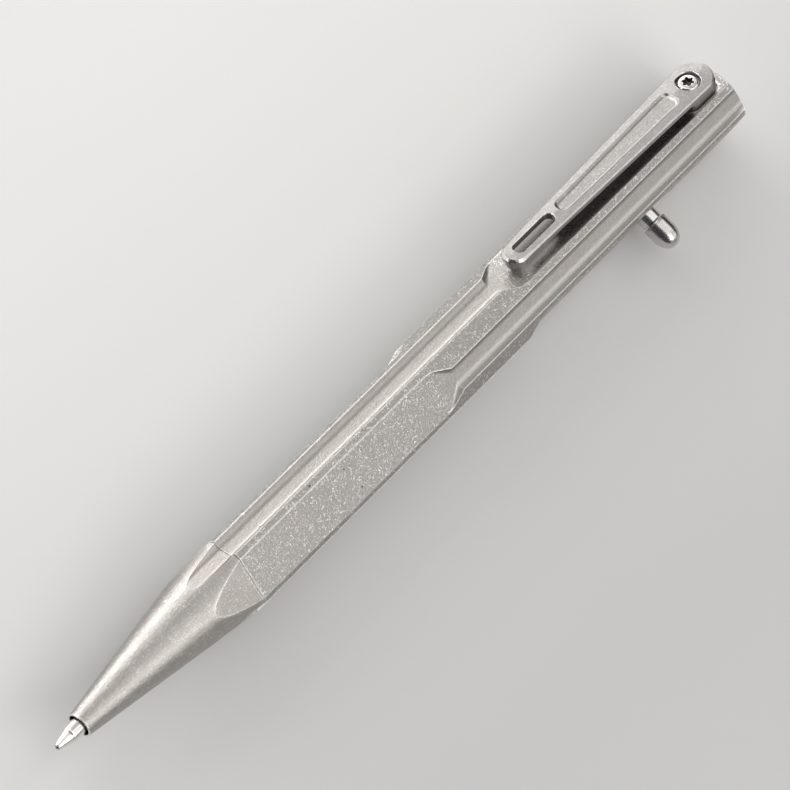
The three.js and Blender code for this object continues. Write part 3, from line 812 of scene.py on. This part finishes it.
# ---- materials -----------------------------------------------------------------------------------------------
class Nodes:
    """Short-hand for building one material's nodes."""

    def __init__(self, name):
        self.m = bpy.data.materials.new(name)
        self.m.use_nodes = True
        self.t = self.m.node_tree
        self.t.nodes.clear()
        self.out = self.t.nodes.new("ShaderNodeOutputMaterial")
        self.bsdf = self.t.nodes.new("ShaderNodeBsdfPrincipled")
        self.t.links.new(self.bsdf.outputs[0], self.out.inputs[0])
        self.co = self.t.nodes.new("ShaderNodeTexCoord").outputs["Object"]

    def link(self, a, b):
        self.t.links.new(a, b)

    def _in(self, socket, value):
        if isinstance(value, bpy.types.NodeSocket):
            self.link(value, socket)
        elif value is not None:
            socket.default_value = value

    def mapped(self, scale=(1, 1, 1), rot=(0, 0, 0), loc=(0, 0, 0)):
        n = self.t.nodes.new("ShaderNodeMapping")
        self.link(self.co, n.inputs["Vector"])
        n.inputs["Scale"].default_value = scale
        n.inputs["Rotation"].default_value = rot
        n.inputs["Location"].default_value = loc
        return n.outputs[0]

    def noise(self, size, detail=2.0, rough=0.5, vector=None, distortion=0.0):
        """size is the feature size in millimetres."""
        n = self.t.nodes.new("ShaderNodeTexNoise")
        self.link(vector or self.co, n.inputs["Vector"])
        n.inputs["Scale"].default_value = 1.0 / (size * MM)
        n.inputs["Detail"].default_value = detail
        n.inputs["Roughness"].default_value = rough
        n.inputs["Distortion"].default_value = distortion
        return n.outputs["Fac"] if "Fac" in n.outputs else n.outputs[0]

    def cells(self, size, randomness=1.0, vector=None, feature="F1", output="Distance"):
        n = self.t.nodes.new("ShaderNodeTexVoronoi")
        n.feature = feature
        self.link(vector or self.co, n.inputs["Vector"])
        n.inputs["Scale"].default_value = 1.0 / (size * MM)
        n.inputs["Randomness"].default_value = randomness
        return n.outputs[output]

    def unrolled(self, radius=5.3):
        """The skin laid flat: distance along the pen, then distance round it. The rear end face stays as it is."""
        sep = self.t.nodes.new("ShaderNodeSeparateXYZ")
        self.link(self.co, sep.inputs[0])
        w = self.math("ARCTAN2", self.math("SUBTRACT", sep.outputs[1], AXIS_Y * MM), self.math("SUBTRACT", sep.outputs[2], AXIS_Z * MM))
        com = self.t.nodes.new("ShaderNodeCombineXYZ")
        self.link(sep.outputs[0], com.inputs[0])
        self.link(self.math("MULTIPLY", w, radius * MM), com.inputs[1])
        end = self.t.nodes.new("ShaderNodeCombineXYZ")
        self.link(sep.outputs[1], end.inputs[0])
        self.link(sep.outputs[2], end.inputs[1])
        n = self.t.nodes.new("ShaderNodeMix")
        n.data_type = "VECTOR"
        self.link(self.math("LESS_THAN", sep.outputs[0], (HALF - REAR_RIM_S - 0.12) * MM), n.inputs["Factor"])
        self.link(com.outputs[0], n.inputs[4])
        self.link(end.outputs[0], n.inputs[5])
        return n.outputs[1]

    def on_face(self, a):
        """Sockets for t, n and s, in millimetres, of the shaded point on the face at angle a."""
        sep = self.t.nodes.new("ShaderNodeSeparateXYZ")
        self.link(self.co, sep.inputs[0])
        y = self.math("DIVIDE", self.math("SUBTRACT", sep.outputs[1], AXIS_Y * MM), MM)
        z = self.math("DIVIDE", self.math("SUBTRACT", sep.outputs[2], AXIS_Z * MM), MM)
        t = self.math("SUBTRACT", self.math("MULTIPLY", y, cosd(a - 30)), self.math("MULTIPLY", z, sind(a - 30)))
        n = self.math("ADD", self.math("MULTIPLY", y, sind(a - 30)), self.math("MULTIPLY", z, cosd(a - 30)))
        return t, n, self.math("SUBTRACT", HALF, self.math("DIVIDE", sep.outputs[0], MM))

    def turned_by(self, vector, turn, scale, shift=0.0):
        """The vector turned in its own plane, then scaled along its first two directions."""
        first = self.t.nodes.new("ShaderNodeMapping")
        self.link(vector, first.inputs["Vector"])
        first.inputs["Rotation"].default_value = (0, 0, turn)
        first.inputs["Location"].default_value = (shift, shift * 0.6, 0)
        second = self.t.nodes.new("ShaderNodeMapping")
        self.link(first.outputs[0], second.inputs["Vector"])
        second.inputs["Scale"].default_value = (scale[0], scale[1], 1.0)
        return second.outputs[0]

    def ramp(self, value, lo, hi, a=0.0, b=1.0, smooth=True):
        n = self.t.nodes.new("ShaderNodeMapRange")
        n.interpolation_type = "SMOOTHSTEP" if smooth else "LINEAR"
        n.clamp = True
        self._in(n.inputs["Value"], value)
        n.inputs["From Min"].default_value = lo
        n.inputs["From Max"].default_value = hi
        n.inputs["To Min"].default_value = a
        n.inputs["To Max"].default_value = b
        return n.outputs["Result"]

    def math(self, op, a, b=None, clamp=False):
        n = self.t.nodes.new("ShaderNodeMath")
        n.operation = op
        n.use_clamp = clamp
        self._in(n.inputs[0], a)
        if b is not None:
            self._in(n.inputs[1], b)
        return n.outputs[0]

    def mix(self, factor, a, b):
        n = self.t.nodes.new("ShaderNodeMix")
        n.data_type = "RGBA"
        self._in(n.inputs["Factor"], factor)
        self._in(n.inputs[6], a)
        self._in(n.inputs[7], b)
        return n.outputs[2]

    def attribute(self, name):
        n = self.t.nodes.new("ShaderNodeAttribute")
        n.attribute_name = name
        return n.outputs["Fac"]

    def bump(self, height, distance, strength=1.0, normal=None):
        n = self.t.nodes.new("ShaderNodeBump")
        n.inputs["Strength"].default_value = strength
        n.inputs["Distance"].default_value = distance * MM
        self.link(height, n.inputs["Height"])
        if normal is not None:
            self.link(normal, n.inputs["Normal"])
        return n.outputs[0]

    def set(self, **values):
        names = {"color": "Base Color", "metallic": "Metallic", "rough": "Roughness", "normal": "Normal", "ior": "IOR",
                 "coat": "Coat Weight", "coat_rough": "Coat Roughness", "transmission": "Transmission Weight",
                 "sub": "Subsurface Weight", "spec": "Specular IOR Level"}
        for k, v in values.items():
            self._in(self.bsdf.inputs[names[k]], v)
        return self.m


def grey(v, warm=1.0):
    return (v, v * (1 - 0.050 * warm), v * (1 - 0.090 * warm), 1.0)


def titanium(name, level=0.50, rough=0.40, fleck=1.0, pits=1.0, grain=1.0, shift=0.0, warm=1.0, rub=0.10, painted_clip_shade=False, painted_bore_shade_radius=0.0):
    """Bead-blasted, then tumbled metal: fine grain, bright flecks and short scratches, rubbed edges that also carry a
    painted edge highlight, small dark pits; a painted highlight on one wall of each groove, and painted shade under
    the clip and inside the bore when asked.
    """
    k = Nodes(name)
    skin = k.unrolled()
    fine = k.noise(0.10, 2, 0.6)
    mid = k.noise(0.27, 3, 0.6)
    patch = k.noise(1.5, 3, 0.6, k.mapped(loc=(shift, 0, shift)))
    cloud = k.noise(6.0, 3, 0.5, k.mapped(loc=(shift, shift, 0)))
    flat = k.math("SUBTRACT", 1.0, k.attribute("groove"))
    # tumbling flecks: small dents in clusters and short scratches that run in three directions
    dents = k.math("MULTIPLY", k.ramp(k.cells(0.36, 1.0, k.turned_by(skin, 0.3, (1.0, 1.35), shift)), 0.36, 0.20),
                   k.ramp(k.noise(0.6, 2, 0.6, k.turned_by(skin, 0.0, (1, 1), shift + 0.01)), 0.47, 0.60))
    marks = []
    for i, (turn, long) in enumerate(((0.45, 0.26), (-0.75, 0.30), (1.45, 0.34))):
        n = k.noise(0.185, 1, 0.4, k.turned_by(skin, turn, (long, 1.0), shift + 0.007 * (i + 1)), 0.2)
        marks.append(k.ramp(n, 0.63, 0.685))
    scratches = k.math("MAXIMUM", k.math("MAXIMUM", marks[0], marks[1]), marks[2])
    scratches = k.math("MULTIPLY", scratches, k.ramp(k.noise(0.42, 1, 0.5, k.turned_by(skin, 0.0, (1, 1), shift + 0.031)), 0.36, 0.60, 0.25, 1.0))
    specks = k.math("MAXIMUM", dents, k.math("MULTIPLY", scratches, 0.9))
    specks = k.math("MULTIPLY", specks, k.ramp(patch, 0.36, 0.62, 0.35, 1.0))
    specks = k.math("MULTIPLY", specks, k.math("MULTIPLY", k.ramp(flat, 0.1, 0.9, 0.14, 1.0, False), fleck))
    painted_shade = None
    if painted_bore_shade_radius:
        # painted shade: inside the mouth of the bore the metal is painted darker and its flecks are taken out
        t, n, s = k.on_face(0)
        painted_shade = k.ramp(k.math("SQRT", k.math("ADD", k.math("MULTIPLY", t, t), k.math("MULTIPLY", n, n))), painted_bore_shade_radius + 0.05, painted_bore_shade_radius, 0.0, 1.0)
        specks = k.math("MULTIPLY", specks, k.ramp(painted_shade, 0.0, 1.0, 1.0, 0.0, False))
    if painted_clip_shade:
        # painted shade: the strip of the barrel under and beside the clip, from its tip back to its foot, where the
        # clip's shadow and dark underside fall, is painted darker and kept free of flecks
        t, n, s = k.on_face(0)
        painted_shade = k.math("MULTIPLY", k.ramp(k.math("ABSOLUTE", t), 3.2, 2.7, 0.0, 1.0), k.ramp(n, 4.3, 4.6))
        painted_shade = k.math("MULTIPLY", painted_shade, k.math("MULTIPLY", k.ramp(s, 91.3, 93.2), k.ramp(s, 126.6, 125.8)))
        specks = k.math("MULTIPLY", specks, k.ramp(painted_shade, 0.0, 1.0, 1.0, 0.05, False))
    # dark pits, sparse and of unequal size
    pit = k.ramp(k.math("ADD", k.cells(2.9, 1.0, k.mapped(loc=(0.011, shift, 0.002))), k.math("MULTIPLY", k.noise(4.0, 1), 0.05)), 0.085, 0.055)
    pit = k.math("MULTIPLY", pit, pits)
    wear_and_sheen = k.math("MULTIPLY", k.attribute("wear_and_sheen"), k.ramp(mid, 0.30, 0.62, 0.55, 1.0))
    wear_and_sheen = k.math("MULTIPLY", wear_and_sheen, k.ramp(k.attribute("groove"), 0.2, 1.0, 1.0, 0.3, False))
    tone = k.mix(k.ramp(mid, 0.28, 0.72, 0, 1, False), grey(level * 0.86, warm), grey(level * 1.12, 0.9 * warm))
    tone = k.mix(k.ramp(patch, 0.35, 0.68, 0.0, 0.35), tone, grey(level * 1.14, 0.85 * warm))
    tone = k.mix(k.ramp(cloud, 0.35, 0.68, 0.0, 0.4), tone, grey(level * 0.92, 1.25 * warm))
    tone = k.mix(k.ramp(fine, 0.35, 0.7, 0.0, 0.35), tone, grey(level * 1.18, 0.85 * warm))
    milled = k.mix(k.ramp(mid, 0.3, 0.7, 0, 1, False), grey(level * 0.96, warm), grey(level * 1.18, warm))
    tone = k.mix(k.math("MULTIPLY", k.attribute("groove"), 0.75), tone, milled)
    # painted highlight: the groove walls marked by the wall attribute are painted much lighter, on one side of each
    # groove
    tone = k.mix(k.math("MULTIPLY", k.attribute("wall"), 0.9), tone, grey(level * 1.9, warm))
    tone = k.mix(specks, tone, grey(0.96, 0.7 * warm))
    # painted shade: the marked area is painted darker, and darker again where the sideways distance t is under about
    # 1.7 mm, as in the strip seen through the clip slot
    if painted_shade is not None:
        tone = k.mix(k.math("MULTIPLY", painted_shade, 0.9), tone, grey(level * 0.68, warm))
        tone = k.mix(k.math("MULTIPLY", painted_shade, k.ramp(k.math("ABSOLUTE", t), 1.7, 1.2, 0.0, 0.85)), tone, grey(level * 0.46, warm))
    tone = k.mix(pit, tone, grey(level * 0.34, warm))
    # edges painted near white, partly rubbed metal and partly a painted edge highlight
    tone = k.mix(k.math("MULTIPLY", wear_and_sheen, 0.9), tone, grey(0.93, 0.6 * warm))
    r = k.ramp(mid, 0.3, 0.7, rough - 0.03, rough + 0.05, False)
    r = k.math("SUBTRACT", r, k.math("MULTIPLY", specks, 0.10))
    if painted_shade is not None:
        r = k.math("SUBTRACT", r, k.math("MULTIPLY", painted_shade, 0.08))
    r = k.math("SUBTRACT", r, k.math("MULTIPLY", wear_and_sheen, rub), clamp=True)
    # heights in millimetres
    height = k.math("ADD", k.math("MULTIPLY", fine, 0.016 * grain), k.math("MULTIPLY", mid, 0.046 * grain))
    height = k.math("SUBTRACT", height, k.math("MULTIPLY", specks, 0.010))
    if painted_shade is not None:
        height = k.math("MULTIPLY", height, k.ramp(painted_shade, 0.0, 1.0, 1.0, 0.2, False))
    height = k.math("SUBTRACT", height, k.math("MULTIPLY", pit, 0.03))
    n = k.bump(height, 1.0, 1.0)
    return k.set(color=tone, metallic=1.0, rough=r, normal=n)


def polished(name, level=0.72, rough=0.12, warm=0.6, grain=1.0):
    k = Nodes(name)
    fine = k.noise(0.16, 3, 0.6)
    lines = k.noise(0.5, 3, 0.6, k.mapped(scale=(1.0, 6.0, 6.0)))
    cloud = k.noise(1.6, 2, 0.5)
    tone = k.mix(k.ramp(cloud, 0.3, 0.7), grey(level * 0.95, warm), grey(level * 1.04, warm))
    # lighter edges, partly rubbed metal and partly a painted edge highlight
    tone = k.mix(k.ramp(k.attribute("wear_and_sheen"), 0.2, 1.0, 0.0, 0.6), tone, grey(min(1.0, level * 1.2), 0.3))
    # painted shade: where the groove attribute is set, the six-lobed socket of the screw, the colour is painted nearly
    # black
    tone = k.mix(k.attribute("groove"), tone, grey(0.13, 2.0))
    r = k.math("ADD", k.ramp(lines, 0.3, 0.75, rough * (1 - 0.2 * grain), rough * (1 + 0.4 * grain)), k.math("MULTIPLY", fine, 0.03 * grain))
    r = k.math("ADD", r, k.math("MULTIPLY", k.attribute("groove"), 0.3))
    n = k.bump(k.math("ADD", lines, k.math("MULTIPLY", fine, 0.5)), 0.0012 * grain, 0.6)
    return k.set(color=tone, metallic=1.0, rough=r, normal=n)


def tinted_metal(name, colour, rough):
    k = Nodes(name)
    cloud = k.noise(1.4, 3, 0.55)
    lines = k.noise(0.25, 2, 0.5, k.mapped(scale=(7.0, 1.0, 1.0)))
    dark = (colour[0] * 0.86, colour[1] * 0.84, colour[2] * 0.8, 1)
    tone = k.mix(k.ramp(cloud, 0.3, 0.7), (*colour, 1), dark)
    # lighter edges, partly rubbed metal and partly a painted edge highlight
    tone = k.mix(k.ramp(k.attribute("wear_and_sheen"), 0.2, 1.0, 0.0, 0.6), tone, (min(1, colour[0] * 1.15), min(1, colour[1] * 1.15), min(1, colour[2] * 1.2), 1))
    r = k.ramp(lines, 0.3, 0.7, rough - 0.05, rough + 0.08)
    return k.set(color=tone, metallic=1.0, rough=r, normal=k.bump(lines, 0.004, 0.7))


def plastic(name, colour, rough, mottled=0.12, bump=0.004, **more):
    k = Nodes(name)
    fine = k.noise(0.3, 3, 0.55)
    cloud = k.noise(2.6, 3, 0.55)
    a = tuple(c * (1 - mottled) for c in colour) + (1,)
    b = tuple(min(1, c * (1 + mottled)) for c in colour) + (1,)
    tone = k.mix(k.ramp(cloud, 0.3, 0.7), a, b)
    r = k.ramp(fine, 0.3, 0.7, rough - 0.04, rough + 0.06)
    return k.set(color=tone, metallic=0.0, rough=r, normal=k.bump(fine, bump, 0.6), **more)


def mark_strips(ob, narrow=0.10, chamfer=0.30):
    """Face attribute for the clip's bright edges: 0.9 on the thin strips along its edges, rubbed metal with a painted
    edge highlight; on the chamfers a painted highlight, full at the tip and lighter on the +t side than on the -t
    side; and a painted highlight at the rear end of the pocket.
    """
    bm = bmesh.new()
    bm.from_mesh(ob.data)
    value = []
    for f in bm.faces:
        width = 2 * f.calc_area() / f.calc_perimeter() / MM
        c = f.calc_center_median()
        s, y, z = HALF - c.x / MM, c.y / MM - AXIS_Y, c.z / MM - AXIS_Z
        n, t = y * sind(-30) + z * cosd(-30), y * cosd(-30) - z * sind(-30)
        inner = 100.5 < s < 126 and abs(t) < 1.6 and n > CLIP_TOP - 0.5
        # painted highlight: the rear end of the pocket floor is painted lighter
        if inner:
            value.append(0.35 if s > 124.6 else 0.0)
        elif width < narrow:
            value.append(0.9)
        # painted highlight on the chamfers: full at the tip, stronger on the +t side than on the -t side
        elif width < chamfer and n > CLIP_TOP - 0.4:
            value.append(1.0 if s < CLIP_FRONT_S + 1.5 else 0.45 if t > 0 else 0.1)
        else:
            value.append(0.0)
    bm.free()
    a_ = ob.data.attributes.new("wear_and_sheen", "FLOAT", "FACE")
    a_.data.foreach_set("value", np.array(value, np.float32))


def finish(ob, material, body, nodes, wear_and_sheen=True):
    if wear_and_sheen:
        mark_wear_and_sheen(ob)
    ob.data.materials.clear()
    ob.data.materials.append(material)
    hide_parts(*nodes)
    if body:
        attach(ob, body)
    return ob


def mark_groove(ob):
    """Point attributes: groove, 1 where the surface is a groove floor or wall, 0 on flats and facets; and wall, a
    painted highlight on the groove walls, strong on the +t side and faint on the -t side.
    """
    co = np.zeros(len(ob.data.vertices) * 3)
    ob.data.vertices.foreach_get("co", co)
    co = co.reshape(-1, 3) / MM
    s = HALF - co[:, 0]
    y, z = co[:, 1] - AXIS_Y, co[:, 2] - AXIS_Z
    value, wall = np.zeros(len(co)), np.zeros(len(co))
    for k in range(6):
        a = 60 * k
        n = y * sind(a - 30) + z * cosd(a - 30)
        t = y * cosd(a - 30) - z * sind(a - 30)
        d = (s - A_GROOVE_S) if k % 2 == 0 else (B_GROOVE_S - s)
        b = np.array([min(funnel(v), B_FLAT) for v in d])
        reach = np.array([lip(v)[0] for v in b])
        share = np.clip((np.array([lip(v)[1] for v in b]) - FLOOR_N) / FULL_RISE, 0, 1) ** 0.7
        inside = (n > FLOOR_N - 0.03) & (np.abs(t) < reach - 0.06)
        value = np.where(inside, np.maximum(value, share), value)
        # painted highlight: strong on the +t wall of each barrel groove, faint on the -t wall, none on the nose
        up = np.clip((np.abs(t) - b + 0.22) / 0.2, 0, 1) * share * np.where(s < SEAM_S, 0.0, np.where(t > 0, 0.5 if k % 2 == 0 else 0.47, 0.1))
        wall = np.where(inside, np.maximum(wall, up), wall)
    for name, v in (("groove", value), ("wall", wall)):
        ob.data.attributes.new(name, "FLOAT", "POINT").data.foreach_set("value", v.astype(np.float32))


# ---- build -----------------------------------------------------------------------------------------------------
# painted shade: the barrel's material darkens the strip under the clip
ti_barrel = titanium("tumbled_titanium", level=0.385, rough=0.36, grain=1.35, painted_clip_shade=True)
# painted shade: the nose's material darkens the inside of its mouth
ti_nose = titanium("blasted_titanium", level=0.42, rough=0.32, fleck=0.5, pits=0.2, grain=1.35, shift=0.021, warm=1.1, painted_bore_shade_radius=1.60)
ti_clip = titanium("clip_titanium", level=0.375, rough=0.35, fleck=0.32, pits=0.5, grain=0.8, shift=0.043, warm=0.6, rub=0.18)
steel = polished("polished_steel_finish", 0.66, 0.16)
steel_knob = polished("polished_knob_finish", 0.60, 0.24, grain=0.5)
point_steel = polished("point_steel_finish", 0.86, 0.24, grain=0.4)
carbide = polished("carbide_finish", 0.42, 0.14, 0.0)
wire_steel = tinted_metal("spring_wire_finish", (0.60, 0.60, 0.59), 0.26)
brass = tinted_metal("turned_brass_finish", (0.74, 0.56, 0.29), 0.28)
rubber = plastic("nitrile_finish", (0.022, 0.022, 0.022), 0.55, 0.3)
white_plastic = plastic("white_plastic_finish", (0.80, 0.80, 0.77), 0.34, 0.04, sub=0.15)
clear_plastic = plastic("clear_plastic_finish", (0.86, 0.88, 0.89), 0.22, 0.03, transmission=0.55, ior=1.49)
ink_gel = plastic("ink_finish", (0.012, 0.012, 0.018), 0.22, 0.3)
grease_gel = plastic("grease_finish", (0.80, 0.76, 0.56), 0.2, 0.06, transmission=0.3)
black_plastic = plastic("black_plastic_finish", (0.03, 0.03, 0.032), 0.45, 0.2)

shell = make_barrel()
mark_groove(shell)
finish(shell, ti_barrel, "barrel", ["barrel"])
nose = make_nose()
mark_groove(nose)
finish(nose, ti_nose, "nose", ["nose_cone"])
clip = make_clip()
mark_strips(clip)
finish(clip, ti_clip, None, ["clip_arm", "clip_foot"], wear_and_sheen=False)
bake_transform(clip)
screw = make_screw()
# painted shade: the socket of the screw head is marked with the groove attribute, which the polished finish paints
# nearly black
value = []
for v in screw.data.vertices:
    y, z = v.co.y / MM - AXIS_Y, v.co.z / MM - AXIS_Z
    n = y * sind(-30) + z * cosd(-30)
    r = math.hypot(HALF - v.co.x / MM - SCREW_S, y * cosd(-30) - z * sind(-30))
    value.append(1.0 if 6.4 < n < 7.25 and r < 0.95 else 0.0)
screw.data.attributes.new("groove", "FLOAT", "POINT").data.foreach_set("value", np.array(value, np.float32))
finish(screw, steel, "barrel", ["clip_screw"])
stud, knob = make_bolt()
finish(stud, steel_knob, "bolt", ["bolt_stud"])
finish(knob, steel_knob, "bolt", ["bolt_head"])
finish(make_plunger(), brass, "bolt", ["plunger"])
point, ball, holder, tube, ink, grease, plug, seal = make_refill()
finish(point, point_steel, "refill", ["refill_point"])
finish(ball, carbide, "refill", ["writing_ball"])
finish(holder, white_plastic, "refill", ["refill_nose"])
finish(tube, clear_plastic, "refill", ["refill_tube"])
finish(ink, ink_gel, "refill", ["refill_ink"])
finish(grease, grease_gel, "refill", ["ink_follower"])
finish(plug, black_plastic, "refill", ["refill_end_plug"])
finish(seal, rubber, "nose_seal", ["nose_o_ring"])
spring = make_spring()
finish(spring, wire_steel, None, ["return_spring"])
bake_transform(spring)

# ---- stage: pale floor, soft studio light, camera ---------------------------------------------------------------
bpy.ops.mesh.primitive_plane_add(size=6.0, location=(0, 0, 0))
floor = bpy.context.object
floor.name = "floor"
k = Nodes("pale_floor")
across = k.t.nodes.new("ShaderNodeSeparateXYZ")
k.link(k.co, across.inputs[0])
# painted light and shade: the floor is painted very pale towards -Y, standing in for light from that side, and darker
# grey towards +Y, where the pen's shade falls
painted_floor_light = k.mix(k.ramp(across.outputs[1], -0.075, 0.06), (0.93, 0.928, 0.92, 1), (0.66, 0.66, 0.655, 1))
k.set(color=k.mix(k.ramp(k.noise(60.0, 2, 0.5), 0.3, 0.7, 0.0, 0.06), painted_floor_light, (0.80, 0.80, 0.795, 1)), metallic=0.0, rough=0.8)
floor.data.materials.append(k.m)


def soft_box(name, direction, distance, size, radiance):
    """A large lamp of even brightness; its long side lies along the pen."""
    light = bpy.data.lights.new(name, "AREA")
    light.shape = "RECTANGLE"
    light.size, light.size_y = size
    light.energy = radiance * math.pi * size[0] * size[1]
    light.color = (1.0, 0.988, 0.968)
    ob = bpy.data.objects.new(name, light)
    scene.collection.objects.link(ob)
    back = Vector(direction).normalized()
    along = (Vector((1, 0, 0)) - back * back.x).normalized()
    up = back.cross(along)
    m = Matrix((along, up, back)).transposed().to_4x4()
    m.translation = back * distance
    ob.matrix_world = m
    return ob


# two arches of soft boxes over the pen; elevation in degrees over the -Y side, height, radiance behind and in front
for elevation, high_, behind, ahead in (
        (8, 0.26, 3.6, 6.2), (30, 0.36, 1.05, 2.5), (52, 0.36, 0.3, 1.35), (74, 0.36, 0.45, 0.85), (96, 0.36, 1.35, 1.4),
        (118, 0.36, 0.75, 1.9), (140, 0.36, 1.05, 3.4), (162, 0.36, 0.45, 0.4)):
    for name, x, wide, radiance in (("behind", -0.55, 0.62, behind), ("ahead", 0.04, 0.60, ahead)):
        c = math.sqrt(1 - x * x)
        soft_box("%s_%d" % (name, elevation), (x, -c * cosd(elevation), c * sind(elevation)), 1.0, (wide, high_), radiance)
soft_box("book", (0.70, -0.68, 0.22), 1.0, (0.4, 0.25), 4.3)

world = bpy.data.worlds.new("studio")
scene.world = world
world.use_nodes = True
background = world.node_tree.nodes["Background"]
background.inputs["Color"].default_value = (0.93, 0.96, 1.0, 1)
background.inputs["Strength"].default_value = 0.05

cam_data = bpy.data.cameras.new("camera")
cam = bpy.data.objects.new("camera", cam_data)
scene.collection.objects.link(cam)
right = Vector((-0.63423, 0.71449, 0.29539))
down = Vector((0.62703, 0.69887, -0.34412))
forward = Vector((-0.45231, -0.03303, -0.89125))
cam.matrix_world = Matrix((
    (right.x, -down.x, -forward.x, 0.320474),
    (right.y, -down.y, -forward.y, 0.019657),
    (right.z, -down.z, -forward.z, 0.638846),
    (0, 0, 0, 1)))
cam_data.sensor_width = 36.0
cam_data.lens = 5500.0 / 790.0 * 36.0
cam_data.clip_start, cam_data.clip_end = 0.01, 20.0
scene.camera = cam
scene.view_settings.view_transform = "Standard"
scene.view_settings.look = "None"
scene.view_settings.exposure = 0.0
